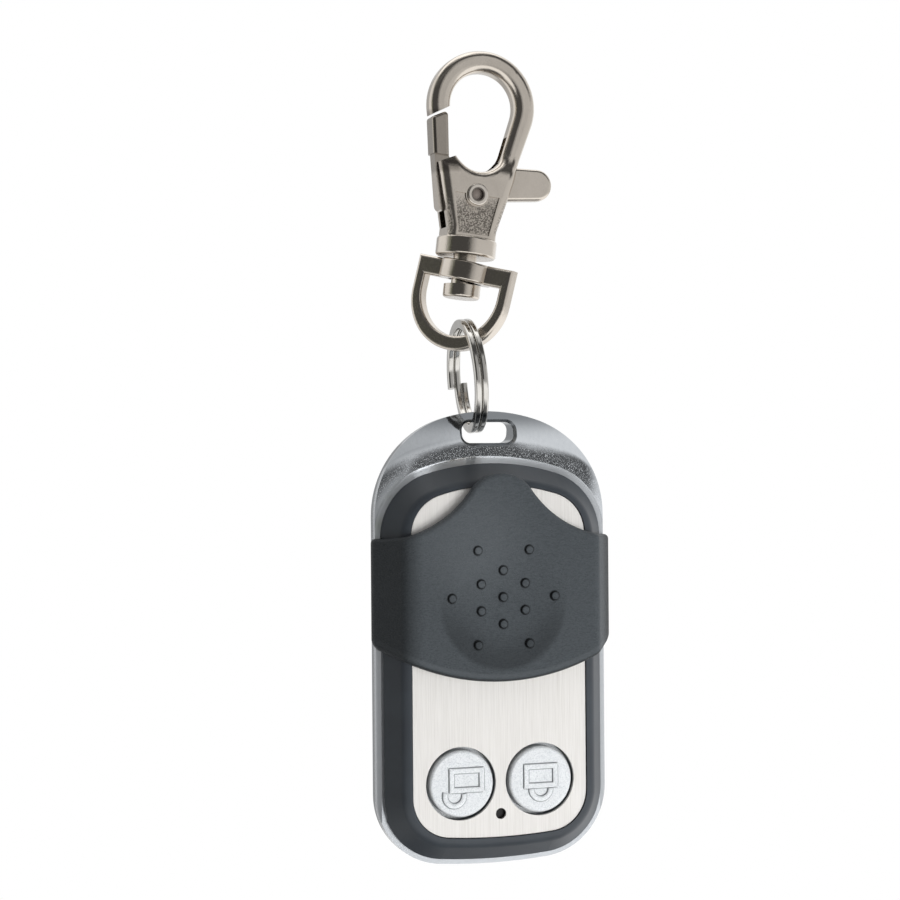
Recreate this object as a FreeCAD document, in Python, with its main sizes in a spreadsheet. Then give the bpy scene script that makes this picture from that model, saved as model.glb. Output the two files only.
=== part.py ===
"""Learning remote key fob with its swivel clasp, hanging from the eye of the clasp.

Units are millimetres. The row frame has +Z up, +X to the right of the fob's face and -Y towards
the viewer of that face. The origin is the crown of the clasp's eye, where the fob hangs.
Each sub-assembly is built in a frame of its own and then set in the row frame by a pose.
"""

import FreeCAD
import Part
import math
import os

import Sketcher
from FreeCAD import Placement, Rotation, Vector

SIZES = {
    # Fob outline, seen from the front
    "fob_height": 58.0,
    "fob_width": 31.0,
    "frame_crown_radius": 21.0,
    "frame_shoulder_radius": 13.0,
    "foot_radius": 80.0,
    "foot_corner_radius": 9.0,
    "frame_lip": 0.67,
    "shell_top_drop": 6.7,
    "shell_crown_radius": 30.0,
    "shell_shoulder_radius": 8.5,
    "rim_width": 3.22,
    "plate_top_rise": 0.4,
    # Fob depth, measured from the middle of the frame
    "frame_front": 2.2,
    "frame_band": 1.8,
    "frame_back": 2.4,
    "frame_back_inset": 1.3,
    "frame_land": 2.1,
    "flange_height": 9.0,
    "flange_radius": 32.0,
    "slot_width": 7.0,
    "slot_height": 2.7,
    "slot_corner_radius": 1.1,
    "slot_bar": 1.4,
    "slot_chamfer": 0.35,
    "rim_front": 5.5,
    "rim_bevel_width": 2.3,
    "rim_bevel_depth": 2.9,
    "rim_crest_radius": 1.6,
    "plate_front": 5.3,
    "plate_thickness": 0.4,
    "adhesive_thickness": 0.1,
    "shell_wall": 1.0,
    "tongue_depth": 1.2,
    "back_front": 5.1,
    "back_wall": 0.9,
    "back_land": 1.5,
    "fit_gap": 0.1,
    # Buttons and lamp
    "button_margin": 1.66,
    "button_web": 1.3,
    "lower_row_height": 10.9,
    "row_pitch": 24.5,
    "cap_gap": 0.42,
    "button_proud": 0.25,
    "button_edge": 0.35,
    "button_bite": 0.3,
    "button_flange_thickness": 0.6,
    "button_play": 0.1,
    "stem_width": 3.0,
    "lamp_drop": 4.1,
    "lamp_hole": 1.4,
    "lamp_width": 3.0,
    # Board, switches and cell
    "board_front": 0.9,
    "board_thickness": 1.0,
    "board_gap": 0.25,
    "switch_width": 5.2,
    "switch_height": 1.4,
    "plunger_width": 2.4,
    "plunger_proud": 0.3,
    "plunger_depth": 0.8,
    "press_travel": 0.3,
    "cell_width": 20.0,
    "cell_thickness": 3.2,
    "cell_height": 5.6,
    "contact_thickness": 0.35,
    "clip_thickness": 0.25,
    "antenna_width": 2.9,
    "antenna_wire": 0.5,
    "antenna_length": 5.5,
    "boss_width": 2.6,
    "boss_pilot": 1.3,
    "upper_boss_inset": 3.23,
    "upper_boss_drop": 13.4,
    "lower_boss_inset": 2.63,
    "lower_boss_height": 5.7,
    "boss_back": 1.1,
    "screw_width": 1.7,
    "screw_head": 2.8,
    "screw_head_depth": 1.0,
    "screw_length": 4.6,
    # Sliding cover
    "slider_overhang": 0.58,
    "slider_side": 3.1,
    "slider_front": 6.9,
    "slider_wall": 1.05,
    "slider_gap": 0.12,
    "guide_bite": 0.55,
    "guide_height": 0.36,
    "slider_top_drop": 7.9,
    "slider_tip_radius": 4.8,
    "slider_sweep_radius": 14.3,
    "slider_peak": 8.2,
    "slider_length": 26.4,
    "slider_foot_radius": 30.0,
    "slider_foot_corner": 2.0,
    "slider_side_margin": 0.03,
    "slider_face_radius": 400.0,
    "slider_edge": 0.6,
    "slider_bevel_edge": 1.3,
    "dish_radius": 8.2,
    "dish_depth": 0.4,
    "dish_drop": 16.5,
    "bump_drop": 15.7,
    "bump_width": 1.15,
    "bump_inner_circle": 3.4,
    "bump_outer_circle": 6.87,
    "bump_edge": 0.2,
    # Split ring
    "ring_outer": 14.8,
    "ring_wire_depth": 1.2,
    "ring_wire_width": 0.8,
    "ring_coil_gap": 0.06,
    "ring_start": 12.0,
    "ring_overlap": 5.0,
    "ring_wire_edge": 0.25,
    # Swivel loop
    "loop_width": 13.9,
    "loop_arm": 1.4,
    "loop_foot": 1.9,
    "loop_depth": 2.0,
    "loop_bar": 2.5,
    "loop_straight": 1.6,
    "loop_edge": 0.45,
    "barrel_width": 6.9,
    "barrel_bore": 4.4,
    "barrel_edge": 0.3,
    # Clasp hook, measured down from the crown of its eye
    "eye_half_width": 4.35,
    "eye_length": 13.0,
    "eye_foot_radius": 3.3,
    "eye_wire": 2.8,
    "hook_thickness": 3.1,
    "body_thickness": 5.2,
    "body_start": 10.0,
    "body_swell_radius": 4.0,
    "hook_edge": 1.05,
    "collar_top": 21.6,
    "collar_height": 2.4,
    "collar_width": 7.8,
    "neck_width": 3.0,
    "barrel_gap": 0.7,
    "head_gap": 0.45,
    "head_width": 4.8,
    "head_height": 1.7,
    "turned_edge": 0.35,
    "hook_waist": 3.3,
    "cheek_top": 12.0,
    "hook_foot": 20.5,
    "gate_slot": 2.1,
    "slot_floor": 20.6,
    "slot_right": 18.6,
    "nose_drop": 5.0,
    "nose_groove": 1.4,
    "recess_depth": 0.25,
    "pivot_drop": 16.1,
    "rivet_width": 2.2,
    "rivet_bore": 1.5,
    "rivet_head": 2.85,
    "rivet_head_height": 0.3,
    "rivet_clearance": 0.05,
    "gate_thickness": 1.9,
    "gate_depth": 3.0,
    "gate_step": 11.4,
    "gate_hub": 1.75,
    "gate_edge": 0.45,
    "lever_edge": 0.5,
    "lever_width": 4.1,
    "lever_reach": 10.6,
    "lever_drop": 14.05,
    "lever_slope": 4.4,
    "spring_x": 2.1,
    "spring_width": 1.4,
    "spring_wire": 0.3,
    "spring_turns": 5.0,
    # Rest pose
    "hook_lean": 6.6,
    "loop_spin": -46.0,
    "loop_lean": 7.5,
    "loop_tilt": 7.2,
    "loop_shift": 0.45,
    "ring_spin": -5.5,
    "ring_lean": 4.2,
    "ring_shift": 0.845,
    "ring_rise": 1.15,
    "fob_shift": 1.7,
    "slot_hang": 0.22,
}

# Sizes and places that follow from the ones above

FOLLOWING = {
    "flange_start": "fob_height / 2 - flange_height",
    "button_hole": "fob_width / 2 - frame_lip - rim_width - button_margin - button_web / 2",
    "button_cap": "button_hole - 2 * cap_gap",
    "button_flange": "button_hole + 2 * button_bite",
    "button_spacing": "button_hole + button_web",
    "lower_row": "lower_row_height - fob_height / 2",
    "upper_boss_x": "fob_width / 2 - frame_lip - frame_land - shell_wall - upper_boss_inset",
    "upper_boss_z": "fob_height / 2 - upper_boss_drop",
    "lower_boss_x": "fob_width / 2 - frame_lip - frame_land - shell_wall - lower_boss_inset",
    "lower_boss_z": "lower_boss_height - fob_height / 2",
    "slider_width": "fob_width + 2 * slider_overhang",
    "slider_face": "slider_width - 2 * slider_side",
    "slider_tip": "fob_height / 2 - slider_top_drop",
    "slider_shoulder": "slider_tip - slider_peak",
    "slider_foot": "slider_tip - slider_length",
    "dish_height": "slider_tip - dish_drop",
    "bump_height": "slider_tip - bump_drop",
}

doc = FreeCAD.newDocument("KeyFob")
sheet = doc.addObject("Spreadsheet::Sheet", "Sizes")
cells = {alias: str(number) for alias, number in SIZES.items()}
cells.update({alias: "=" + text for alias, text in FOLLOWING.items()})
for row, (alias, content) in enumerate(cells.items(), start=1):
    sheet.set(f"A{row}", alias)
    sheet.setAlias(f"B{row}", alias)
    sheet.set(f"B{row}", content)
doc.recompute()


def expand(text):
    """The expression with each size's name replaced by its cell in the sheet."""
    words = []
    word = ""
    for letter in text + " ":
        if letter.isalnum() or letter == "_" or letter == ".":
            word += letter
            continue
        words.append("Sizes." + word if word in cells else word)
        words.append(letter)
        word = ""
    return "".join(words).strip()


def value(text):
    """The number that an expression on the sheet's sizes gives."""
    return float(sheet.evalExpression(expand(text)))


def bind(thing, prop, text):
    """Bind a property of an object to an expression on the sheet's sizes."""
    thing.setExpression(prop, expand(text))


# Sketch helpers: every loop is drawn from exact points and then bound to the sheet


def line(start, end):
    """A straight segment of a loop."""
    return ("line", start, end)


def arc(centre, radius, first, last):
    """An arc of a loop from angle first to angle last, counter-clockwise when last is larger."""
    return ("arc", centre, radius, first, last)


def ends(segment):
    """Start and end point of a segment with its direction at each."""
    if segment[0] == "line":
        (ax, ay), (bx, by) = segment[1:]
        size = math.hypot(bx - ax, by - ay)
        along = ((bx - ax) / size, (by - ay) / size)
        return (ax, ay), along, (bx, by), along
    _, (cx, cy), radius, first, last = segment
    turn = 1 if last > first else -1
    result = []
    for angle in (first, last):
        result.append((cx + radius * math.cos(angle), cy + radius * math.sin(angle)))
        result.append((-turn * math.sin(angle), turn * math.cos(angle)))
    return tuple(result)


def draw_loop(sketch, segments):
    """Add a closed loop; neighbours are joined, tangent where they run on smoothly."""
    base = sketch.GeometryCount
    marks = []
    for segment in segments:
        if segment[0] == "line":
            (ax, ay), (bx, by) = segment[1:]
            sketch.addGeometry(Part.LineSegment(Vector(ax, ay, 0), Vector(bx, by, 0)))
            marks.append((1, 2))
            continue
        _, (cx, cy), radius, first, last = segment
        circle = Part.Circle(Vector(cx, cy, 0), Vector(0, 0, 1), radius)
        sketch.addGeometry(Part.ArcOfCircle(circle, min(first, last), max(first, last)))
        marks.append((1, 2) if last > first else (2, 1))
    joints = []
    for index, segment in enumerate(segments):
        after = (index + 1) % len(segments)
        leaving = ends(segment)[3]
        entering = ends(segments[after])[1]
        cross = leaving[0] * entering[1] - leaving[1] * entering[0]
        straight = segment[0] == "line" and segments[after][0] == "line"
        kind = "Tangent" if abs(cross) < 1e-6 and not straight else "Coincident"
        joint = (base + index, marks[index][1], base + after, marks[after][0])
        joints.append(Sketcher.Constraint(kind, *joint))
    for index, segment in enumerate(segments):
        if segment[0] == "line":
            (ax, ay), (bx, by) = segment[1:]
            if abs(ax - bx) < 1e-9:
                joints.append(Sketcher.Constraint("Vertical", base + index))
            elif abs(ay - by) < 1e-9:
                joints.append(Sketcher.Constraint("Horizontal", base + index))
    sketch.addConstraint(joints)
    return base


def dimension(sketch, kind, refs, text):
    """Add a dimension to a sketch and bind it to an expression."""
    number = sketch.addConstraint(Sketcher.Constraint(kind, *refs, value(text)))
    sketch.renameConstraint(number, f"size_{number}")
    bind(sketch, f"Constraints.size_{number}", text)


def place_point(sketch, ref, x, y):
    """Bind a sketch point to its two coordinates."""
    dimension(sketch, "DistanceX", (-1, 1, *ref), x)
    dimension(sketch, "DistanceY", (-1, 1, *ref), y)


def new_body(name):
    """A body whose label is the name of its node."""
    body = doc.addObject("PartDesign::Body", name)
    body.Label = name
    return body


def new_sketch(body, name, role, offset="0"):
    """A sketch on one of the body's own origin planes, moved along the plane's normal."""
    sketch = body.newObject("Sketcher::SketchObject", name)
    plane = next(item for item in body.Origin.OriginFeatures if item.Role == role)
    sketch.AttachmentSupport = [(plane, "")]
    sketch.MapMode = "FlatFace"
    if offset != "0":
        bind(sketch, ".AttachmentOffset.Base.z", offset)
    return sketch


def add_pad(body, name, sketch, length, back=False, both=False):
    """A pad of a sketch: towards the sketch's normal, behind it, or to both sides."""
    pad = body.newObject("PartDesign::Pad", name)
    pad.Profile = sketch
    pad.Length = value(length)
    bind(pad, "Length", length)
    pad.Reversed = back
    if both:
        pad.SideType = "Symmetric"
    doc.recompute()
    return pad


def add_pocket(body, name, sketch, length=None, forward=False, both=False):
    """A pocket of a sketch, through everything when no length is given; it has to cut."""
    before = body.Shape.Volume
    pocket = body.newObject("PartDesign::Pocket", name)
    pocket.Profile = sketch
    pocket.Reversed = forward
    if length is None:
        pocket.Type = "ThroughAll"
        pocket.SideType = "Symmetric"
    else:
        pocket.Length = value(length)
        bind(pocket, "Length", length)
        if both:
            pocket.SideType = "Symmetric"
    doc.recompute()
    if pocket.Shape.Volume > before - 1e-6:
        raise RuntimeError(f"{body.Label}: {name} cuts nothing")
    return pocket


def add_loft(body, name, sections):
    """A ruled loft through sketches of the same make."""
    loft = body.newObject("PartDesign::AdditiveLoft", name)
    loft.Profile = sections[0]
    loft.Sections = sections[1:]
    loft.Ruled = True
    doc.recompute()
    return loft


def edges_of(feature, wanted):
    """Names of the feature's edges whose shape passes a test."""
    return [f"Edge{n}" for n, edge in enumerate(feature.Shape.Edges, start=1) if wanted(edge)]


def add_fillet(body, name, base, wanted, radius):
    """Round the edges of a feature that pass a test."""
    fillet = body.newObject("PartDesign::Fillet", name)
    fillet.Base = (base, edges_of(base, wanted))
    fillet.Radius = value(radius)
    bind(fillet, "Radius", radius)
    doc.recompute()
    return fillet


def add_bevel(body, name, base, wanted, size, other=None):
    """Chamfer the edges of a feature that pass a test."""
    bevel = body.newObject("PartDesign::Chamfer", name)
    bevel.Base = (base, edges_of(base, wanted))
    bevel.Size = value(size)
    bind(bevel, "Size", size)
    if other is not None:
        bevel.ChamferType = "Two distances"
        bevel.Size2 = value(other)
        bind(bevel, "Size2", other)
    doc.recompute()
    return bevel


def add_revolve(body, name, sketch, axis="V_Axis"):
    """A full turn of a sketch about one of its own axes."""
    turn = body.newObject("PartDesign::Revolution", name)
    turn.Profile = sketch
    turn.ReferenceAxis = (sketch, [axis])
    turn.Angle = 360.0
    doc.recompute()
    return turn


def on_plane(edge, axis, height):
    """Whether an edge lies in the plane across an axis at a height."""
    low = getattr(edge.BoundBox, axis + "Min")
    high = getattr(edge.BoundBox, axis + "Max")
    return abs(low - height) < 1e-4 and abs(high - height) < 1e-4


def draw_circle(sketch, x, y, radius):
    """A circle bound by its centre and radius."""
    centre = Vector(value(x), value(y), 0)
    index = sketch.addGeometry(Part.Circle(centre, Vector(0, 0, 1), value(radius)))
    place_point(sketch, (index, 3), x, y)
    dimension(sketch, "Radius", (index,), radius)


def draw_box(sketch, left, right, low, high):
    """A rectangle bound by its four sides."""
    x0, x1, y0, y1 = (value(text) for text in (left, right, low, high))
    corners = [(x0, y0), (x1, y0), (x1, y1), (x0, y1)]
    base = draw_loop(sketch, [line(corners[n], corners[(n + 1) % 4]) for n in range(4)])
    place_point(sketch, (base, 1), left, low)
    place_point(sketch, (base + 1, 2), right, high)


def draw_points(sketch, points):
    """A loop of straight lines and arcs through bound points.

    Each point is x, y and, where an arc leaves it, that arc's radius and its turn.
    """
    count = len(points)
    segments = []
    for index, point in enumerate(points):
        start = (value(point[0]), value(point[1]))
        after = points[(index + 1) % count]
        end = (value(after[0]), value(after[1]))
        if len(point) == 2:
            segments.append(line(start, end))
            continue
        radius = value(point[2])
        turn = point[3]
        half = math.hypot(end[0] - start[0], end[1] - start[1]) / 2
        rise = math.sqrt(max(radius * radius - half * half, 0.0)) * turn
        along = ((end[0] - start[0]) / (2 * half), (end[1] - start[1]) / (2 * half))
        cx = (start[0] + end[0]) / 2 - along[1] * rise
        cy = (start[1] + end[1]) / 2 + along[0] * rise
        first = math.atan2(start[1] - cy, start[0] - cx)
        last = math.atan2(end[1] - cy, end[0] - cx)
        while turn > 0 and last < first:
            last += 2 * math.pi
        while turn < 0 and last > first:
            last -= 2 * math.pi
        segments.append(arc((cx, cy), radius, first, last))
    base = sketch.GeometryCount
    for segment in segments:
        if segment[0] == "line":
            (ax, ay), (bx, by) = segment[1:]
            sketch.addGeometry(Part.LineSegment(Vector(ax, ay, 0), Vector(bx, by, 0)))
        else:
            _, (cx, cy), radius, first, last = segment
            circle = Part.Circle(Vector(cx, cy, 0), Vector(0, 0, 1), radius)
            sketch.addGeometry(Part.ArcOfCircle(circle, min(first, last), max(first, last)))
    starts = []
    for index, segment in enumerate(segments):
        backwards = segment[0] == "arc" and segment[4] < segment[3]
        starts.append((2, 1) if backwards else (1, 2))
    for index in range(count):
        after = (index + 1) % count
        joint = (base + index, starts[index][1], base + after, starts[after][0])
        sketch.addConstraint(Sketcher.Constraint("Coincident", *joint))
    for index, point in enumerate(points):
        place_point(sketch, (base + index, starts[index][0]), point[0], point[1])
        if len(point) > 2:
            dimension(sketch, "Radius", (base + index,), point[2])
    return base


def draw_slot(sketch, left, right, low, high, radius):
    """A rectangle with round corners, bound by its sides and its corner radius."""
    x0, x1, y0, y1, r = (value(text) for text in (left, right, low, high, radius))
    quarter = math.pi / 2
    base = draw_loop(
        sketch,
        [
            line((x0 + r, y0), (x1 - r, y0)),
            arc((x1 - r, y0 + r), r, -quarter, 0),
            line((x1, y0 + r), (x1, y1 - r)),
            arc((x1 - r, y1 - r), r, 0, quarter),
            line((x1 - r, y1), (x0 + r, y1)),
            arc((x0 + r, y1 - r), r, quarter, 2 * quarter),
            line((x0, y1 - r), (x0, y0 + r)),
            arc((x0 + r, y0 + r), r, 2 * quarter, 3 * quarter),
        ],
    )
    for corner in (3, 5, 7):
        sketch.addConstraint(Sketcher.Constraint("Equal", base + 1, base + corner))
    dimension(sketch, "Radius", (base + 1,), radius)
    dimension(sketch, "DistanceX", (-1, 1, base + 2, 1), right)
    dimension(sketch, "DistanceX", (-1, 1, base + 6, 1), left)
    dimension(sketch, "DistanceY", (-1, 1, base, 1), low)
    dimension(sketch, "DistanceY", (-1, 1, base + 4, 1), high)


# The arched outline that the frame, the shell, the plate and the board share

OUTLINE_KEYS = ("half", "top", "crown", "shoulder", "low", "foot", "corner")
FRAME = {
    "half": "fob_width / 2",
    "top": "fob_height / 2",
    "crown": "frame_crown_radius",
    "shoulder": "frame_shoulder_radius",
    "low": "0 - fob_height / 2",
    "foot": "foot_radius",
    "corner": "foot_corner_radius",
}
SHELL = {
    "half": "fob_width / 2 - frame_lip",
    "top": "fob_height / 2 - shell_top_drop",
    "crown": "shell_crown_radius",
    "shoulder": "shell_shoulder_radius",
    "low": "0 - fob_height / 2 + frame_lip",
    "foot": "foot_radius - frame_lip",
    "corner": "foot_corner_radius - frame_lip",
}


def inset(outline, amount):
    """The outline drawn a distance further in on every side."""
    grown = {"low": " + "}
    return {key: f"{outline[key]}{grown.get(key, ' - ')}({amount})" for key in OUTLINE_KEYS}


def draw_outline(sketch, outline):
    """The arched outline: crown, two shoulders, straight sides, two corners and the foot."""
    half, top, crown, shoulder, low, foot, corner = (value(outline[key]) for key in OUTLINE_KEYS)
    crown_y = top - crown
    side = half - shoulder
    shoulder_y = crown_y + math.sqrt((crown - shoulder) ** 2 - side**2)
    lean = math.atan2(shoulder_y - crown_y, side)
    foot_y = low + foot
    inner = half - corner
    corner_y = foot_y - math.sqrt((foot - corner) ** 2 - inner**2)
    turn = math.atan2(corner_y - foot_y, -inner) + 2 * math.pi
    base = draw_loop(
        sketch,
        [
            line((half, corner_y), (half, shoulder_y)),
            arc((side, shoulder_y), shoulder, 0, lean),
            arc((0, crown_y), crown, lean, math.pi - lean),
            arc((-side, shoulder_y), shoulder, math.pi - lean, math.pi),
            line((-half, shoulder_y), (-half, corner_y)),
            arc((-inner, corner_y), corner, math.pi, turn),
            arc((0, foot_y), foot, turn, 3 * math.pi - turn),
            arc((inner, corner_y), corner, 3 * math.pi - turn, 2 * math.pi),
        ],
    )
    sketch.addConstraint(
        [
            Sketcher.Constraint("PointOnObject", base + 2, 3, -2),
            Sketcher.Constraint("PointOnObject", base + 6, 3, -2),
            Sketcher.Constraint("Equal", base + 1, base + 3),
            Sketcher.Constraint("Equal", base + 5, base + 7),
        ]
    )
    dimension(sketch, "DistanceX", (-1, 1, base, 1), outline["half"])
    dimension(sketch, "DistanceX", (base + 4, 1, -1, 1), outline["half"])
    dimension(sketch, "Radius", (base + 2,), outline["crown"])
    dimension(sketch, "Radius", (base + 1,), outline["shoulder"])
    dimension(sketch, "Radius", (base + 6,), outline["foot"])
    dimension(sketch, "Radius", (base + 5,), outline["corner"])
    dimension(sketch, "DistanceY", (-1, 1, base + 2, 3), f"{outline['top']} - ({outline['crown']})")
    dimension(sketch, "DistanceY", (-1, 1, base + 6, 3), f"{outline['low']} + ({outline['foot']})")


# Places that several pieces share

BUTTONS = {
    "lower_left": ("0 - button_spacing / 2", "lower_row"),
    "lower_right": ("button_spacing / 2", "lower_row"),
    "upper_left": ("0 - button_spacing / 2", "lower_row + row_pitch"),
    "upper_right": ("button_spacing / 2", "lower_row + row_pitch"),
}
BOSSES = (
    ("0 - upper_boss_x", "upper_boss_z"),
    ("upper_boss_x", "upper_boss_z"),
    ("0 - lower_boss_x", "lower_boss_z"),
    ("lower_boss_x", "lower_boss_z"),
)
LAMP = ("0", "lower_row - lamp_drop")
OPENING = inset(SHELL, "frame_land")
CAVITY = inset(SHELL, "frame_land + fit_gap + shell_wall")
PLATE = inset(SHELL, "rim_width")
PLATE["top"] += " + plate_top_rise"
SLOT_HIGH = "fob_height / 2 - slot_bar"
SLOT_LOW = "fob_height / 2 - slot_bar - slot_height"
PLATE_BACK = "plate_front - plate_thickness"
SEAT = "plate_front - plate_thickness - adhesive_thickness"
SHELL_INNER = "plate_front - plate_thickness - adhesive_thickness - shell_wall"
BOARD_BACK = "board_front - board_thickness"
BARREL_DROP = "(collar_top + collar_height + barrel_gap + loop_bar / 2)"
LOOP_X = f"(loop_shift * cos(loop_spin) - {BARREL_DROP} * sin(hook_lean))"
LOOP_Y = "(loop_shift * sin(loop_spin))"
LOOP_Z = f"(0 - {BARREL_DROP} * cos(hook_lean))"
LOOP_AXIS_X = "(sin(loop_tilt) * cos(loop_spin) * cos(loop_lean) + cos(loop_tilt) * sin(loop_lean))"
LOOP_AXIS_Z = "(cos(loop_tilt) * cos(loop_lean) - sin(loop_tilt) * cos(loop_spin) * sin(loop_lean))"
BEND_DROP = "(loop_bar / 2 + loop_straight)"
BEND_X = f"({LOOP_X} - {BEND_DROP} * {LOOP_AXIS_X})"
BEND_Z = f"({LOOP_Z} - {BEND_DROP} * {LOOP_AXIS_Z})"
RING_HOLE = "(ring_outer / 2 - ring_wire_depth)"
RING_X = f"({BEND_X} + ring_shift)"
RING_Z = f"({BEND_Z} - loop_width / 2 + loop_arm + ring_rise - {RING_HOLE})"
FOB_X = f"({RING_X} + {RING_HOLE} * sin(ring_lean) + fob_shift)"
FOB_Z = f"({RING_Z} - {RING_HOLE} * cos(ring_lean) + slot_hang - fob_height / 2 + slot_bar)"


# The fob's case


def make_frame():
    """The chromed frame: a band with a flange above it that holds the key slot."""
    body = new_body("bezel_frame")
    front = new_sketch(body, "FrameFront", "XZ_Plane", "frame_front")
    draw_outline(front, FRAME)
    add_pad(body, "FrameBand", front, "frame_band", back=True)
    wide = new_sketch(body, "FrameWide", "XZ_Plane", "frame_front - frame_band")
    draw_outline(wide, FRAME)
    narrow = new_sketch(body, "FrameNarrow", "XZ_Plane", "0 - frame_back")
    draw_outline(narrow, inset(FRAME, "frame_back_inset"))
    add_loft(body, "FrameTaper", [wide, narrow])
    opening = new_sketch(body, "FrameOpening", "XZ_Plane")
    draw_outline(opening, OPENING)
    add_pocket(body, "FrameThrough", opening)
    high = "fob_height / 2 + 1"
    drop = "sqrt(flange_radius ^ 2 - (fob_height / 2 + 1 - flange_start) ^ 2)"
    for name, face, sign in (("Front", "frame_front", -1), ("Back", "frame_back", 1)):
        side = new_sketch(body, "Flange" + name, "YZ_Plane")
        flat = f"{sign} * {face}"
        outside = f"{sign} * ({face} + 1)"
        bent = f"{sign} * ({face} - flange_radius + {drop})"
        draw_points(
            side,
            [
                (flat, "flange_start", "flange_radius", -sign * -1),
                (bent, high),
                (outside, high),
                (outside, "flange_start"),
            ],
        )
        add_pocket(body, "FlangeSlope" + name, side)
    slot = new_sketch(body, "KeySlot", "XZ_Plane")
    draw_slot(slot, "0 - slot_width / 2", "slot_width / 2", SLOT_LOW, SLOT_HIGH, "slot_corner_radius")
    cut = add_pocket(body, "KeySlotThrough", slot)
    reach = value("slot_width") / 2 + 0.01
    low = value(SLOT_LOW) - 0.01
    high_z = value(SLOT_HIGH) + 0.01

    def slot_rim(edge):
        box = edge.BoundBox
        inside = box.XMin > -reach and box.XMax < reach and box.ZMin > low and box.ZMax < high_z
        return inside and box.YLength < box.XLength + box.ZLength and box.YLength < 0.5

    add_bevel(body, "KeySlotRim", cut, slot_rim, "slot_chamfer")
    return body


def make_front_shell():
    """The black front: a bevelled rim round a seat for the plate, a tongue and four bosses."""
    body = new_body("front_shell")
    base = new_sketch(body, "ShellBase", "XZ_Plane", "frame_front")
    draw_outline(base, SHELL)
    rim = add_pad(body, "ShellRim", base, "rim_front - frame_front")
    front = -value("rim_front")
    bevel = add_bevel(
        body, "RimBevel", rim, lambda e: on_plane(e, "Y", front), "rim_bevel_depth", "rim_bevel_width"
    )
    inner = value("fob_width / 2 - frame_lip - rim_bevel_width")
    add_fillet(
        body,
        "RimCrest",
        bevel,
        lambda e: on_plane(e, "Y", front) and e.BoundBox.XMax < inner + 0.01,
        "rim_crest_radius",
    )
    grooves = new_sketch(body, "GuideGrooves", "XZ_Plane", "frame_front - 1")
    bottom = f"{SHELL['half']} - guide_bite - slider_gap"
    beyond = "fob_width / 2 + 1"
    floor = "0 - fob_height / 2 - 1"
    draw_box(grooves, bottom, beyond, floor, "slider_shoulder + slider_gap")
    draw_box(grooves, f"0 - ({beyond})", f"0 - ({bottom})", floor, "slider_shoulder + slider_gap")
    add_pocket(body, "Grooves", grooves, "1 + 2 * slider_gap + guide_height", forward=True)
    tongue = new_sketch(body, "ShellTongue", "XZ_Plane", "frame_front")
    draw_outline(tongue, inset(OPENING, "fit_gap"))
    add_pad(body, "Tongue", tongue, "tongue_depth", back=True)
    cavity = new_sketch(body, "ShellCavity", "XZ_Plane", "frame_front - tongue_depth")
    draw_outline(cavity, CAVITY)
    add_pocket(body, "Cavity", cavity, f"{SHELL_INNER} - (frame_front - tongue_depth)", forward=True)
    seat = new_sketch(body, "PlateSeat", "XZ_Plane", "rim_front")
    draw_outline(seat, inset(PLATE, "0 - fit_gap"))
    add_pocket(body, "Seat", seat, f"rim_front - ({SEAT})")
    bosses = new_sketch(body, "ShellBosses", "XZ_Plane", SHELL_INNER)
    for x, z in BOSSES:
        draw_circle(bosses, x, z, "boss_width / 2")
    add_pad(body, "Bosses", bosses, f"{SHELL_INNER} + boss_back", back=True)
    pilots = new_sketch(body, "BossPilots", "XZ_Plane", "0 - boss_back")
    for x, z in BOSSES:
        draw_circle(pilots, x, z, "boss_pilot / 2")
    add_pocket(body, "Pilots", pilots, f"{SHELL_INNER} + boss_back - 0.3", forward=True)
    holes = new_sketch(body, "ShellHoles", "XZ_Plane", SEAT)
    for x, z in BUTTONS.values():
        draw_circle(holes, x, z, "button_hole / 2")
    draw_circle(holes, *LAMP, "lamp_width / 2 + fit_gap")
    add_pocket(body, "Holes", holes, "shell_wall + 1")
    return body


def make_plate():
    """The brushed face plate with its button holes and its lamp hole."""
    body = new_body("face_plate")
    face = new_sketch(body, "PlateFace", "XZ_Plane", PLATE_BACK)
    draw_outline(face, PLATE)
    for x, z in BUTTONS.values():
        draw_circle(face, x, z, "button_hole / 2")
    draw_circle(face, *LAMP, "lamp_hole / 2")
    add_pad(body, "Plate", face, "plate_thickness")
    return body


def make_adhesive():
    """The film that holds the plate on its seat."""
    body = new_body("plate_adhesive")
    film = new_sketch(body, "FilmFace", "XZ_Plane", SEAT)
    draw_outline(film, inset(PLATE, "0.5"))
    for x, z in BUTTONS.values():
        draw_circle(film, x, z, "button_hole / 2 + 0.15")
    draw_circle(film, *LAMP, "lamp_width / 2 + fit_gap")
    add_pad(body, "Film", film, "adhesive_thickness")
    return body


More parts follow.
